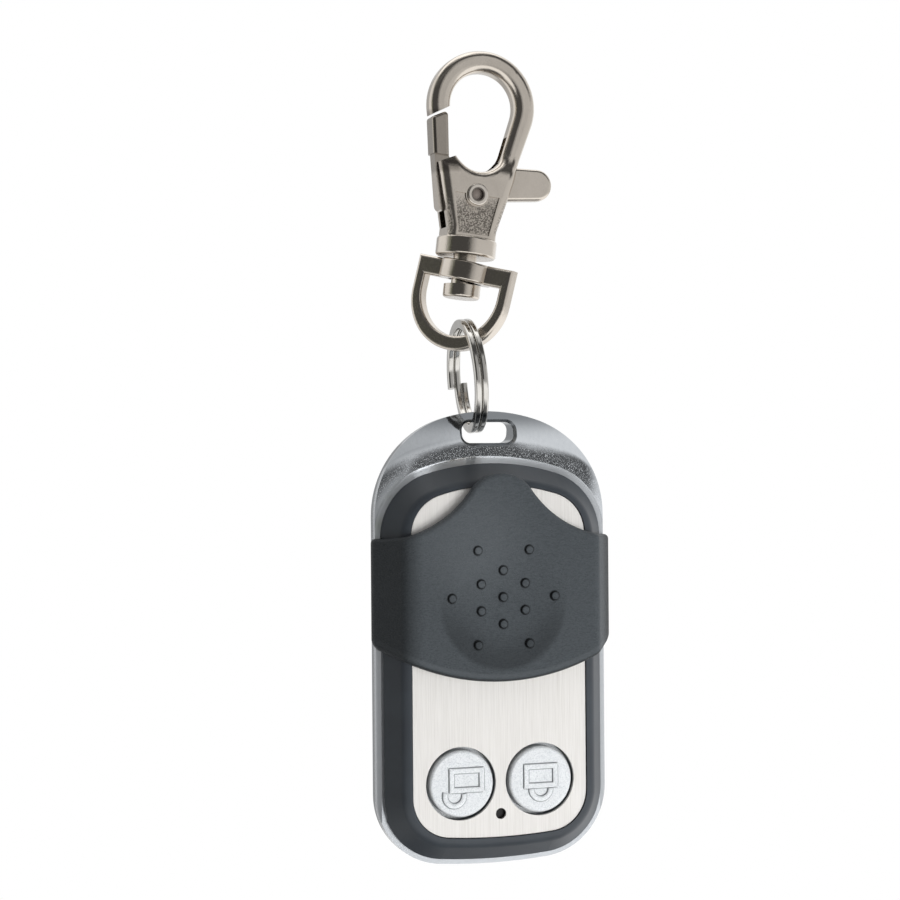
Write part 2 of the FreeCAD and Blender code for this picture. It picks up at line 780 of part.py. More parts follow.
def make_back_cover():
    """The black back with its tongue, its four screw bosses and their counterbores."""
    body = new_body("back_cover")
    outline = inset(SHELL, "back_land")
    base = new_sketch(body, "BackBase", "XZ_Plane", "0 - frame_back")
    draw_outline(base, outline)
    slab = add_pad(body, "BackSlab", base, "back_front - frame_back", back=True)
    rear = value("back_front")
    add_fillet(body, "BackEdge", slab, lambda e: on_plane(e, "Y", rear), "back_front - frame_back - 1")
    tongue = new_sketch(body, "BackTongue", "XZ_Plane", "0 - frame_back")
    draw_outline(tongue, inset(OPENING, "fit_gap"))
    add_pad(body, "BackRib", tongue, "tongue_depth")
    hollow = new_sketch(body, "BackCavity", "XZ_Plane", "0 - (frame_back - tongue_depth)")
    draw_outline(hollow, CAVITY)
    add_pocket(body, "BackHollow", hollow, "back_front - back_wall - frame_back + tongue_depth")
    bosses = new_sketch(body, "BackBosses", "XZ_Plane", "0 - (back_front - back_wall)")
    for x, z in BOSSES:
        draw_circle(bosses, x, z, "boss_width / 2 + 0.5")
    add_pad(body, "BackPosts", bosses, "back_front - back_wall - boss_back")
    bores = new_sketch(body, "ScrewBores", "XZ_Plane", "0 - back_front")
    for x, z in BOSSES:
        draw_circle(bores, x, z, "screw_width / 2 + fit_gap")
    add_pocket(body, "Bores", bores, "back_front", forward=True)
    sinks = new_sketch(body, "HeadSinks", "XZ_Plane", "0 - back_front")
    for x, z in BOSSES:
        draw_circle(sinks, x, z, "screw_head / 2 + 0.2")
    add_pocket(body, "Sinks", sinks, "screw_head_depth + 0.3", forward=True)
    return body


def make_screws():
    """Four identical screws that pull the back cover to the front shell."""
    body = new_body("case_screws")
    under = "0 - (back_front - screw_head_depth - 0.3)"
    heads = new_sketch(body, "ScrewHeads", "XZ_Plane", under)
    shanks = new_sketch(body, "ScrewShanks", "XZ_Plane", under)
    for x, z in BOSSES:
        draw_circle(heads, x, z, "screw_head / 2")
        draw_circle(shanks, x, z, "boss_pilot / 2")
    add_pad(body, "Heads", heads, "screw_head_depth", back=True)
    add_pad(body, "Shanks", shanks, "screw_length")
    recess = new_sketch(body, "DriveRecess", "XZ_Plane", "0 - (back_front - 0.3)")
    for x, z in BOSSES:
        draw_box(recess, f"{x} - 0.9", f"{x} + 0.9", f"{z} - 0.2", f"{z} + 0.2")
    add_pocket(body, "Drive", recess, "screw_head_depth / 2", forward=True)
    return body


# Buttons, switches and what is on the board


def make_button(place, x, z):
    """A round cap with the flange that holds it behind the shell, and the stem to its switch."""
    body = new_body("button_" + place)
    cap = "button_cap / 2"
    top = "0 - (plate_front + button_proud)"
    floor = f"0 - ({SHELL_INNER} - button_play)"
    under = f"0 - ({SHELL_INNER} - button_play - button_flange_thickness)"
    stem = "0 - (board_front + switch_height + plunger_proud)"
    half = new_sketch(body, "ButtonHalf_" + place, "XY_Plane")
    draw_points(
        half,
        [
            ("0", stem),
            ("0", top),
            (f"{cap} - button_edge", top, "button_edge", 1),
            (cap, f"{top} + button_edge"),
            (cap, floor),
            ("button_flange / 2", floor),
            ("button_flange / 2", under),
            ("stem_width / 2", under),
            ("stem_width / 2", stem),
        ],
    )
    add_revolve(body, "ButtonTurn_" + place, half)
    bind(body, ".Placement.Base.x", f"{FOB_X} + {x}")
    bind(body, ".Placement.Base.z", f"{FOB_Z} + {z}")
    return body


def make_plunger(place, x, z):
    """The plunger that stands out of a switch and moves with its button."""
    body = new_body("plunger_" + place)
    low = "board_front + switch_height - plunger_depth"
    foot = new_sketch(body, "PlungerFoot_" + place, "XZ_Plane", low)
    draw_circle(foot, "0", "0", "plunger_width / 2")
    add_pad(body, "PlungerPin_" + place, foot, "plunger_proud + plunger_depth")
    bind(body, ".Placement.Base.x", f"{FOB_X} + {x}")
    bind(body, ".Placement.Base.z", f"{FOB_Z} + {z}")
    return body


def make_switches():
    """The four switch housings on the front of the board, each with a well for its plunger."""
    body = new_body("switch_bodies")
    feet = new_sketch(body, "SwitchFeet", "XZ_Plane", "board_front")
    wells = new_sketch(body, "SwitchWells", "XZ_Plane", "board_front + switch_height")
    half = "switch_width / 2"
    for x, z in BUTTONS.values():
        draw_box(feet, f"{x} - {half}", f"{x} + {half}", f"{z} - {half}", f"{z} + {half}")
        draw_circle(wells, x, z, "plunger_width / 2 + 0.05")
    add_pad(body, "Housings", feet, "switch_height")
    add_pocket(body, "Wells", wells, "plunger_depth + press_travel + 0.1")
    return body


def make_board():
    """The circuit board, notched round the four bosses."""
    body = new_body("circuit_board")
    face = new_sketch(body, "BoardFace", "XZ_Plane", BOARD_BACK)
    draw_outline(face, inset(CAVITY, "board_gap"))
    add_pad(body, "Board", face, "board_thickness")
    notches = new_sketch(body, "BoardNotches", "XZ_Plane", "board_front")
    for x, z in BOSSES:
        draw_circle(notches, x, z, "boss_width / 2 + 0.2")
    add_pocket(body, "Notches", notches, "board_thickness + 1")
    return body


def make_lamp():
    """The indicator lamp: a flanged foot on the board and a round lens behind the plate's hole."""
    body = new_body("indicator_lamp")
    lens = "lamp_width / 2"
    foot = "0 - board_front"
    top = f"0 - ({PLATE_BACK} - 0.15)"
    half = new_sketch(body, "LampHalf", "XY_Plane")
    draw_points(
        half,
        [
            ("0", foot),
            ("0", top),
            ("0.4", top, f"{lens} - 0.4", 1),
            (lens, f"{top} + {lens} - 0.4"),
            (lens, f"{foot} - 0.8"),
            (f"{lens} + 0.15", f"{foot} - 0.8"),
            (f"{lens} + 0.15", foot),
        ],
    )
    add_revolve(body, "LampTurn", half)
    bind(body, ".Placement.Base.x", f"{FOB_X} + {LAMP[0]}")
    bind(body, ".Placement.Base.z", f"{FOB_Z} + {LAMP[1]}")
    return body


def make_cell():
    """The coin cell: a can with the narrower cap of its other pole towards the board."""
    body = new_body("coin_cell")
    front = f"0 - ({BOARD_BACK} - contact_thickness)"
    half = new_sketch(body, "CellHalf", "XY_Plane")
    draw_points(
        half,
        [
            ("0", front),
            ("cell_width / 2 - 1.2", front),
            ("cell_width / 2 - 1.2", f"{front} + 0.4"),
            ("cell_width / 2", f"{front} + 0.4"),
            ("cell_width / 2", f"{front} + cell_thickness"),
            ("0", f"{front} + cell_thickness"),
        ],
    )
    add_revolve(body, "CellTurn", half)
    bind(body, ".Placement.Base.x", FOB_X)
    bind(body, ".Placement.Base.z", f"{FOB_Z} + cell_height")
    return body


def make_contact():
    """The spring-steel disc and tab that take the cell's inner pole to the board."""
    body = new_body("cell_contact")
    disc = new_sketch(body, "ContactDisc", "XZ_Plane", BOARD_BACK)
    draw_circle(disc, "0", "cell_height", "cell_width / 5")
    add_pad(body, "Disc", disc, "contact_thickness", back=True)
    tab = new_sketch(body, "ContactTab", "XZ_Plane", BOARD_BACK)
    draw_box(tab, "0 - 1", "1", "cell_height - cell_width / 2 - 1.2", "cell_height")
    add_pad(body, "Tab", tab, "contact_thickness / 2", back=True)
    return body


def make_clip():
    """The sprung bridge over the cell, with a leg to the board on each side."""
    body = new_body("cell_clip")
    reach = "cell_width / 2 + 0.3"
    top = f"0 - ({BOARD_BACK} - contact_thickness - cell_thickness)"
    profile = new_sketch(body, "ClipProfile", "XY_Plane")
    board = f"0 - ({BOARD_BACK})"
    draw_points(
        profile,
        [
            (f"0 - ({reach})", board),
            (f"0 - ({reach})", top),
            (reach, top),
            (reach, board),
            (f"{reach} + clip_thickness", board),
            (f"{reach} + clip_thickness", f"{top} + clip_thickness"),
            (f"0 - ({reach} + clip_thickness)", f"{top} + clip_thickness"),
            (f"0 - ({reach} + clip_thickness)", board),
        ],
    )
    add_pad(body, "Bridge", profile, "cell_width / 4", both=True)
    bind(body, ".Placement.Base.x", FOB_X)
    bind(body, ".Placement.Base.z", f"{FOB_Z} + cell_height")
    return body


def make_chip():
    """The encoder chip: a moulded body with four leads on each long side."""
    body = new_body("encoder_chip")
    middle = "lower_row + 8"
    face = new_sketch(body, "ChipFace", "XZ_Plane", f"{BOARD_BACK} - 0.15")
    draw_box(face, "0 - 6.4", "0 - 1.4", f"{middle} - 2", f"{middle} + 2")
    add_pad(body, "ChipBody", face, "1.45", back=True)
    leads = new_sketch(body, "ChipLeads", "XZ_Plane", BOARD_BACK)
    for n in range(4):
        left = -5.95 + 1.27 * n
        draw_box(leads, f"{left} - 0.05", f"{left} + 0.35", f"{middle} - 3", f"{middle} + 3")
    add_pad(body, "Leads", leads, "0.3", back=True)
    return body


def make_resonator():
    """The resonator's metal can, with its base flange."""
    body = new_body("saw_resonator")
    base = f"0 - ({BOARD_BACK})"
    half = new_sketch(body, "CanHalf", "XY_Plane")
    draw_points(
        half,
        [
            ("0", base),
            ("2.6", base),
            ("2.6", f"{base} + 0.4"),
            ("2.3", f"{base} + 0.4"),
            ("2.3", f"{base} + 2.1", "0.3", 1),
            ("2.0", f"{base} + 2.4"),
            ("0", f"{base} + 2.4"),
        ],
    )
    add_revolve(body, "CanTurn", half)
    bind(body, ".Placement.Base.x", f"{FOB_X} + 4.2")
    bind(body, ".Placement.Base.z", f"{FOB_Z} + lower_row + 7.6")
    return body


def make_passives():
    """Chip resistors and capacitors on the back of the board."""
    body = new_body("board_passives")
    face = new_sketch(body, "PassiveFace", "XZ_Plane", BOARD_BACK)
    for column in range(4):
        for tier in range(2):
            x = -4.8 + 3.0 * column
            z = f"lower_row + {3.8 - 2.0 * tier}"
            draw_box(face, f"{x} - 1", f"{x} + 1", f"{z} - 0.6", f"{z} + 0.6")
    add_pad(body, "Passives", face, "0.6", back=True)
    return body



# The sliding cover


def make_slider():
    """The sliding cover: a channel whose lips run in the shell's grooves, cut to its peaked outline."""
    body = new_body("slider_cover")
    half = "slider_width / 2"
    face = "slider_face / 2"
    shell = "fob_width / 2 - frame_lip"
    inner = f"{shell} + slider_gap"
    under = "slider_front - slider_wall"
    foot_y = "frame_front + slider_gap"
    corner = f"{foot_y} + 0.5"
    ledge = f"{foot_y} + guide_height"
    bow = "slider_face_radius"
    outer = [(half, f"0 - ({corner})"), (half, f"0 - ({foot_y})")]
    mirrored = [(f"0 - ({x})", y) for x, y in reversed(outer)]
    section = new_sketch(body, "SliderSection", "XY_Plane", "slider_foot - 1")
    front = [(f"0 - ({face})", "0 - slider_front", bow, 1), (face, "0 - slider_front")]
    draw_points(section, front + outer + mirrored)
    block = add_pad(body, "SliderBlock", section, "slider_tip - slider_foot + 2")
    bevel_x = value(face)
    side_x = value(half)
    face_y = -value("slider_front")
    shoulder_y = -value(corner)
    low_y = -value(foot_y)

    def long_edge(edge):
        box = edge.BoundBox
        along = box.ZLength > 5 and box.XLength < 1e-3 and box.YLength < 1e-3
        ridge = abs(abs(box.XMin) - bevel_x) < 1e-3 and box.YMin < face_y + 0.1
        shoulder = abs(abs(box.XMin) - side_x) < 1e-3 and abs(box.YMin - shoulder_y) < 1e-3
        return along and (ridge or shoulder)

    add_fillet(body, "SliderBevels", block, long_edge, "slider_bevel_edge")
    tip = value("slider_tip")
    nose = value("slider_tip_radius")
    sweep = value("slider_sweep_radius")
    level = value("slider_shoulder")
    rise = level + sweep - (tip - nose)
    reach = math.sqrt((nose + sweep) ** 2 - rise**2)
    lean = math.atan2(rise, reach)
    far = side_x + 2
    high = tip + 3
    quarter = math.pi / 2
    crown = new_sketch(body, "SliderCrown", "XZ_Plane")
    base = draw_loop(
        crown,
        [
            arc((0, tip - nose), nose, math.pi - lean, lean),
            arc((reach, level + sweep), sweep, math.pi + lean, 3 * quarter),
            line((reach, level), (far, level)),
            line((far, level), (far, high)),
            line((far, high), (-far, high)),
            line((-far, high), (-far, level)),
            line((-far, level), (-reach, level)),
            arc((-reach, level + sweep), sweep, 3 * quarter, 2 * math.pi - lean),
        ],
    )
    crown.addConstraint(Sketcher.Constraint("PointOnObject", base, 3, -2))
    crown.addConstraint(Sketcher.Constraint("Equal", base + 1, base + 7))
    dimension(crown, "Radius", (base,), "slider_tip_radius")
    dimension(crown, "Radius", (base + 1,), "slider_sweep_radius")
    dimension(crown, "DistanceY", (-1, 1, base, 3), "slider_tip - slider_tip_radius")
    dimension(crown, "DistanceY", (-1, 1, base + 2, 1), "slider_shoulder")
    dimension(crown, "DistanceX", (-1, 1, base + 2, 2), "slider_width / 2 + 2")
    dimension(crown, "DistanceX", (base + 6, 1, -1, 1), "slider_width / 2 + 2")
    dimension(crown, "DistanceY", (-1, 1, base + 3, 2), "slider_tip + 3")
    add_pocket(body, "SliderTop", crown)
    foot = value("slider_foot")
    bow = value("slider_foot_radius")
    round_off = value("slider_foot_corner")
    edge_x = side_x + value("slider_side_margin")
    inner_x = edge_x - round_off
    heel_z = foot + bow - math.sqrt((bow - round_off) ** 2 - inner_x**2)
    lean = math.atan2(heel_z - foot - bow, inner_x)
    low = foot - 2
    above = heel_z + 0.5
    skirt = new_sketch(body, "SliderSkirt", "XZ_Plane")
    base = draw_loop(
        skirt,
        [
            arc((0, foot + bow), bow, lean, -math.pi - lean),
            arc((-inner_x, heel_z), round_off, -math.pi - lean, -math.pi),
            line((-edge_x, heel_z), (-edge_x, above)),
            line((-edge_x, above), (-far, above)),
            line((-far, above), (-far, low)),
            line((-far, low), (far, low)),
            line((far, low), (far, above)),
            line((far, above), (edge_x, above)),
            line((edge_x, above), (edge_x, heel_z)),
            arc((inner_x, heel_z), round_off, 0, lean),
        ],
    )
    skirt.addConstraint(Sketcher.Constraint("PointOnObject", base, 3, -2))
    skirt.addConstraint(Sketcher.Constraint("Equal", base + 1, base + 9))
    dimension(skirt, "Radius", (base,), "slider_foot_radius")
    dimension(skirt, "Radius", (base + 1,), "slider_foot_corner")
    dimension(skirt, "DistanceY", (-1, 1, base, 3), "slider_foot + slider_foot_radius")
    dimension(skirt, "DistanceX", (-1, 1, base + 8, 1), "slider_width / 2 + slider_side_margin")
    dimension(skirt, "DistanceX", (base + 2, 1, -1, 1), "slider_width / 2 + slider_side_margin")
    dimension(skirt, "DistanceX", (-1, 1, base + 6, 1), "slider_width / 2 + 2")
    dimension(skirt, "DistanceX", (base + 4, 1, -1, 1), "slider_width / 2 + 2")
    dimension(skirt, "DistanceY", (base + 5, 1, -1, 1), "2 - slider_foot")
    dimension(skirt, "DistanceY", (base + 8, 2, base + 8, 1), "0.5")
    dimension(skirt, "DistanceY", (base + 2, 1, base + 2, 2), "0.5")
    cut = add_pocket(body, "SliderFoot", skirt)

    def front_rim(edge):
        box = edge.BoundBox
        middle = edge.valueAt((edge.FirstParameter + edge.LastParameter) / 2)
        level_edge = box.XLength < 1e-3 and box.YLength < 1e-3
        return box.YMin < low_y - 1e-3 and not level_edge and abs(middle.x) < side_x

    add_fillet(body, "SliderRim", cut, front_rim, "slider_edge")
    channel = new_sketch(body, "SliderChannel", "XY_Plane")
    bay = [
        (f"{shell} - guide_bite", f"1 - ({foot_y})"),
        (f"{shell} - guide_bite", f"0 - ({ledge})"),
        (inner, f"0 - ({ledge})"),
        (inner, f"0 - ({corner})"),
        (f"{face} - 0.45", f"0 - ({under})"),
    ]
    bay_left = [(f"0 - ({x})", y) for x, y in reversed(bay)]
    draw_points(channel, bay + bay_left)
    add_pocket(body, "Channel", channel)
    crown_height = "slider_front + slider_face_radius - sqrt(slider_face_radius ^ 2 - slider_face ^ 2 / 4)"
    ball = "(dish_radius ^ 2 + dish_depth ^ 2) / (2 * dish_depth)"
    dish = new_sketch(body, "DishHalf", "YZ_Plane")
    bind(dish, ".AttachmentOffset.Base.y", "dish_height")
    brim = f"sqrt(({ball}) ^ 2 - ({ball} - dish_depth - 0.5) ^ 2)"
    draw_points(
        dish,
        [
            (f"dish_depth - ({crown_height})", "0", ball, 1),
            (f"0 - ({crown_height}) - 0.5", brim),
            (f"0 - ({crown_height}) - 0.5", "0"),
        ],
    )
    groove = body.newObject("PartDesign::Groove", "Dish")
    groove.Profile = dish
    groove.ReferenceAxis = (dish, ["H_Axis"])
    groove.Angle = 360.0
    doc.recompute()
    for ring, circle, first, height in (
        ("Inner", "bump_inner_circle", 30, f"{crown_height} - 0.04"),
        ("Outer", "bump_outer_circle", 0, f"{crown_height} + 0.2"),
    ):
        spots = new_sketch(body, "Bumps" + ring, "XZ_Plane", height)
        if ring == "Inner":
            draw_circle(spots, "0", "bump_height", "bump_width / 2")
        for turn_number in range(6):
            angle = first + 60 * turn_number
            x = f"{circle} * cos({angle})"
            z = f"bump_height + {circle} * sin({angle})"
            draw_circle(spots, x, z, "bump_width / 2")
        pad = add_pad(body, "Domes" + ring, spots, "dish_depth + 0.2", back=True)
        top = -value(height)
        add_fillet(body, "DomeEdges" + ring, pad, lambda e, y=top: on_plane(e, "Y", y), "bump_edge")
    return body


# The split ring and the swivel loop


def make_ring():
    """Two turns of flattened wire, wound side by side like a screw with a fine pitch."""
    body = new_body("split_ring")
    wire = new_sketch(body, "WireEnd", "XY_Plane")
    wire.AttachmentOffset = Placement(Vector(), Rotation(Vector(1, 0, 0), -value("ring_start")))
    pitch = "ring_wire_width + ring_coil_gap"
    low = f"0 - ({pitch}) - ring_wire_width / 2"
    high = f"0 - ({pitch}) + ring_wire_width / 2"
    draw_slot(wire, low, high, "ring_outer / 2 - ring_wire_depth", "ring_outer / 2", "ring_wire_edge")
    coil = body.newObject("PartDesign::AdditiveHelix", "Coil")
    coil.Profile = wire
    coil.ReferenceAxis = (wire, ["H_Axis"])
    coil.Mode = "pitch-turns-angle"
    coil.Pitch = value(pitch)
    coil.Turns = value("2 + ring_overlap / 360")
    coil.Angle = 0.0
    bind(coil, "Pitch", pitch)
    bind(coil, "Turns", "2 + ring_overlap / 360")
    doc.recompute()
    return body


def make_loop():
    """The D-shaped loop under its swivel barrel, cast in one piece."""
    body = new_body("swivel_loop")
    half = value("loop_width / 2")
    arm = value("loop_arm")
    top = value("loop_bar / 2")
    inner = half - arm
    bend = -top - value("loop_straight")
    foot = bend - inner - value("loop_foot")
    outer_bend = foot + half
    face = new_sketch(body, "LoopFace", "XZ_Plane")
    base = draw_loop(
        face,
        [
            line((half, outer_bend), (half, top)),
            line((half, top), (-half, top)),
            line((-half, top), (-half, outer_bend)),
            arc((0, outer_bend), half, math.pi, 2 * math.pi),
        ],
    )
    dimension(face, "DistanceY", (-1, 1, base, 2), "loop_bar / 2")
    dimension(face, "Radius", (base + 3,), "loop_width / 2")
    outer_drop = "loop_bar / 2 + loop_straight - loop_arm + loop_foot"
    dimension(face, "DistanceY", (base + 3, 3, -1, 1), outer_drop)
    face.addConstraint(Sketcher.Constraint("PointOnObject", base + 3, 3, -2))
    hole = draw_loop(
        face,
        [
            line((inner, bend), (inner, -top)),
            line((inner, -top), (-inner, -top)),
            line((-inner, -top), (-inner, bend)),
            arc((0, bend), inner, math.pi, 2 * math.pi),
        ],
    )
    dimension(face, "Radius", (hole + 3,), "loop_width / 2 - loop_arm")
    dimension(face, "DistanceY", (hole + 3, 3, -1, 1), "loop_bar / 2 + loop_straight")
    face.addConstraint(Sketcher.Constraint("PointOnObject", hole + 3, 3, -2))
    dimension(face, "DistanceY", (hole, 2, -1, 1), "loop_bar / 2")
    band = add_pad(body, "LoopBand", face, "loop_depth", both=True)
    thick = value("loop_depth") / 2

    def rim(edge):
        return on_plane(edge, "Y", thick) or on_plane(edge, "Y", -thick)

    add_fillet(body, "LoopEdges", band, rim, "loop_edge")
    half_barrel = new_sketch(body, "BarrelHalf", "XZ_Plane")
    wall = "barrel_width / 2"
    draw_points(
        half_barrel,
        [
            ("0", "0 - loop_bar / 2"),
            (f"{wall} - barrel_edge", "0 - loop_bar / 2", "barrel_edge", 1),
            (wall, "0 - loop_bar / 2 + barrel_edge"),
            (wall, "loop_bar / 2 - barrel_edge", "barrel_edge", 1),
            (f"{wall} - barrel_edge", "loop_bar / 2"),
            ("0", "loop_bar / 2"),
        ],
    )
    add_revolve(body, "Barrel", half_barrel)
    bore = new_sketch(body, "BarrelBore", "XY_Plane")
    draw_circle(bore, "0", "0", "barrel_bore / 2")
    add_pocket(body, "Bore", bore, "loop_bar + 0.2", both=True)
    return body


# The clasp


def make_hook():
    """The cast hook: eye, slotted body, collar, neck and the swaged head that keeps the loop."""
    body = new_body("clasp_hook")
    inner = value("eye_half_width")
    outer = inner + value("eye_wire")
    small = value("eye_foot_radius")
    low = -value("eye_length") + small
    lean = math.asin((inner - small) / (-inner - low))
    waist = value("hook_waist")
    knee = -value("hook_foot")
    reach = math.hypot(waist, knee + inner)
    side = math.atan2(knee + inner, waist) + math.acos(outer / reach)
    right = (outer * math.cos(side), -inner + outer * math.sin(side))
    base_z = -value("collar_top") - 0.2
    face = new_sketch(body, "HookFace", "XZ_Plane")
    base = draw_loop(
        face,
        [
            arc((0, -inner), outer, side, math.pi - side),
            line((-right[0], right[1]), (-waist, knee)),
            line((-waist, knee), (-waist, base_z)),
            line((-waist, base_z), (waist, base_z)),
            line((waist, base_z), (waist, knee)),
            line((waist, knee), right),
        ],
    )
    face.addConstraint(Sketcher.Constraint("PointOnObject", base, 3, -2))
    dimension(face, "Radius", (base,), "eye_half_width + eye_wire")
    dimension(face, "DistanceY", (base, 3, -1, 1), "eye_half_width")
    dimension(face, "DistanceX", (-1, 1, base + 4, 2), "hook_waist")
    dimension(face, "DistanceX", (base + 1, 2, -1, 1), "hook_waist")
    dimension(face, "DistanceY", (base + 4, 2, -1, 1), "hook_foot")
    dimension(face, "DistanceY", (base + 1, 2, -1, 1), "hook_foot")
    dimension(face, "DistanceY", (base + 3, 1, -1, 1), "collar_top + 0.2")
    hole = draw_loop(
        face,
        [
            arc((0, -inner), inner, -lean, math.pi + lean),
            line(
                (-inner * math.cos(lean), -inner - inner * math.sin(lean)),
                (-small * math.cos(lean), low - small * math.sin(lean)),
            ),
            arc((0, low), small, math.pi + lean, 2 * math.pi - lean),
            line(
                (small * math.cos(lean), low - small * math.sin(lean)),
                (inner * math.cos(lean), -inner - inner * math.sin(lean)),
            ),
        ],
    )
    face.addConstraint(Sketcher.Constraint("PointOnObject", hole, 3, -2))
    face.addConstraint(Sketcher.Constraint("PointOnObject", hole + 2, 3, -2))
    dimension(face, "Radius", (hole,), "eye_half_width")
    dimension(face, "Radius", (hole + 2,), "eye_foot_radius")
    dimension(face, "DistanceY", (hole, 3, -1, 1), "eye_half_width")
    dimension(face, "DistanceY", (hole + 2, 3, -1, 1), "eye_length - eye_foot_radius")
    add_pad(body, "HookBlank", face, "body_thickness", both=True)
    thin = "hook_thickness / 2"
    thick = "body_thickness / 2"
    bend = "body_swell_radius"
    swell = f"sqrt(({thick} - {thin}) * (4 * {bend} - ({thick} - {thin})))"
    for name, sign in (("Front", -1), ("Back", 1)):
        cheek = new_sketch(body, "Swell" + name, "YZ_Plane")
        draw_points(
            cheek,
            [
                (f"{sign} * {thin}", "eye_wire + 1"),
                (f"{sign} * {thin}", "0 - body_start", bend, sign),
                (f"{sign} * ({thin} + {thick}) / 2", f"0 - body_start - {swell} / 2", bend, -sign),
                (f"{sign} * {thick}", f"0 - body_start - {swell}"),
                (f"{sign} * ({thick} + 1)", f"0 - body_start - {swell}"),
                (f"{sign} * ({thick} + 1)", "eye_wire + 1"),
            ],
        )
        blank = add_pocket(body, "EyeFace" + name, cheek)

    def outline_edge(edge):
        box = edge.BoundBox
        return box.ZLength > 1e-3 and (box.XLength > 1e-3 or box.ZMax < knee + 1e-3)

    add_fillet(body, "HookEdges", blank, outline_edge, "hook_edge")
    gap = new_sketch(body, "GateGap", "XZ_Plane")
    draw_points(
        gap,
        [
            ("0 - eye_half_width - 4.65", "0 - nose_drop - 4.65 * 0.625"),
            ("0 - eye_half_width - 4.65", "0 - cheek_top - 2.3"),
            ("0 - eye_foot_radius + 0.8", "0 - cheek_top + 0.95"),
            ("0 - eye_foot_radius + 0.8", "0 - nose_drop + 1.85 * 0.625"),
        ],
    )
    add_pocket(body, "Gap", gap)
    slot = new_sketch(body, "GateSlot", "XZ_Plane")
    floor = "0 - slot_floor"
    draw_points(
        slot,
        [
            ("0 - eye_half_width - 4.65", "0 - gate_step + 1"),
            ("0 - eye_half_width - 4.65", floor),
            ("hook_waist - 0.45", floor),
            ("hook_waist - 0.2", "0 - slot_right"),
            ("eye_half_width + 4.65", "0 - slot_right"),
            ("eye_half_width + 4.65", "0 - gate_step + 0.1"),
            ("eye_foot_radius - 1.2", "0 - gate_step + 0.1"),
            ("eye_foot_radius - 1.2", "0 - gate_step + 1"),
        ],
    )
    add_pocket(body, "Slot", slot, "gate_slot", both=True)
    groove = new_sketch(body, "LimbGroove", "XZ_Plane")
    draw_points(
        groove,
        [
            ("eye_foot_radius - 1.2", "0 - gate_step"),
            ("eye_half_width + 0.2", "0 - gate_step"),
            ("eye_half_width + 0.1", "0 - gate_step + 3.6"),
            ("eye_foot_radius - 1.2", "0 - gate_step + 3.6"),
        ],
    )
    add_pocket(body, "Groove", groove, "nose_groove", both=True)
    recess = new_sketch(body, "FaceRecess", "XZ_Plane", thick)
    draw_points(
        recess,
        [
            ("0 - (hook_waist - 1.25)", "0 - collar_top + 0.4"),
            ("hook_waist - 1.25", "0 - collar_top + 0.4"),
            ("hook_waist - 0.3", "0 - pivot_drop"),
            ("0 - (hook_waist - 0.3)", "0 - pivot_drop"),
        ],
    )
    add_pocket(body, "Recess", recess, "recess_depth")
    seat = new_sketch(body, "RivetSeat", "XZ_Plane", thick)
    draw_circle(seat, "0", "0 - pivot_drop", "rivet_head / 2 + 0.15")
    add_pad(body, "Seat", seat, "recess_depth + 0.05", back=True)
    turned = new_sketch(body, "CollarHalf", "XZ_Plane")
    collar = "collar_width / 2"
    head = "head_width / 2"
    top = "0 - collar_top"
    under = "0 - collar_top - collar_height"
    head_top = f"{under} - barrel_gap - loop_bar - head_gap"
    draw_points(
        turned,
        [
            ("0", top),
            ("0", f"{head_top} - head_height"),
            (f"{head} - turned_edge", f"{head_top} - head_height", "turned_edge", 1),
            (head, f"{head_top} - head_height + turned_edge"),
            (head, head_top),
            ("neck_width / 2", head_top),
            ("neck_width / 2", under),
            (f"{collar} - turned_edge", under, "turned_edge", 1),
            (collar, f"{under} + turned_edge"),
            (collar, f"{top} - turned_edge", "turned_edge", 1),
            (f"{collar} - turned_edge", top),
        ],
    )
    add_revolve(body, "Collar", turned)
    bore = new_sketch(body, "RivetBore", "XZ_Plane")
    draw_circle(bore, "0", "0 - pivot_drop", "rivet_width / 2")
    add_pocket(body, "Bore", bore)
    return body


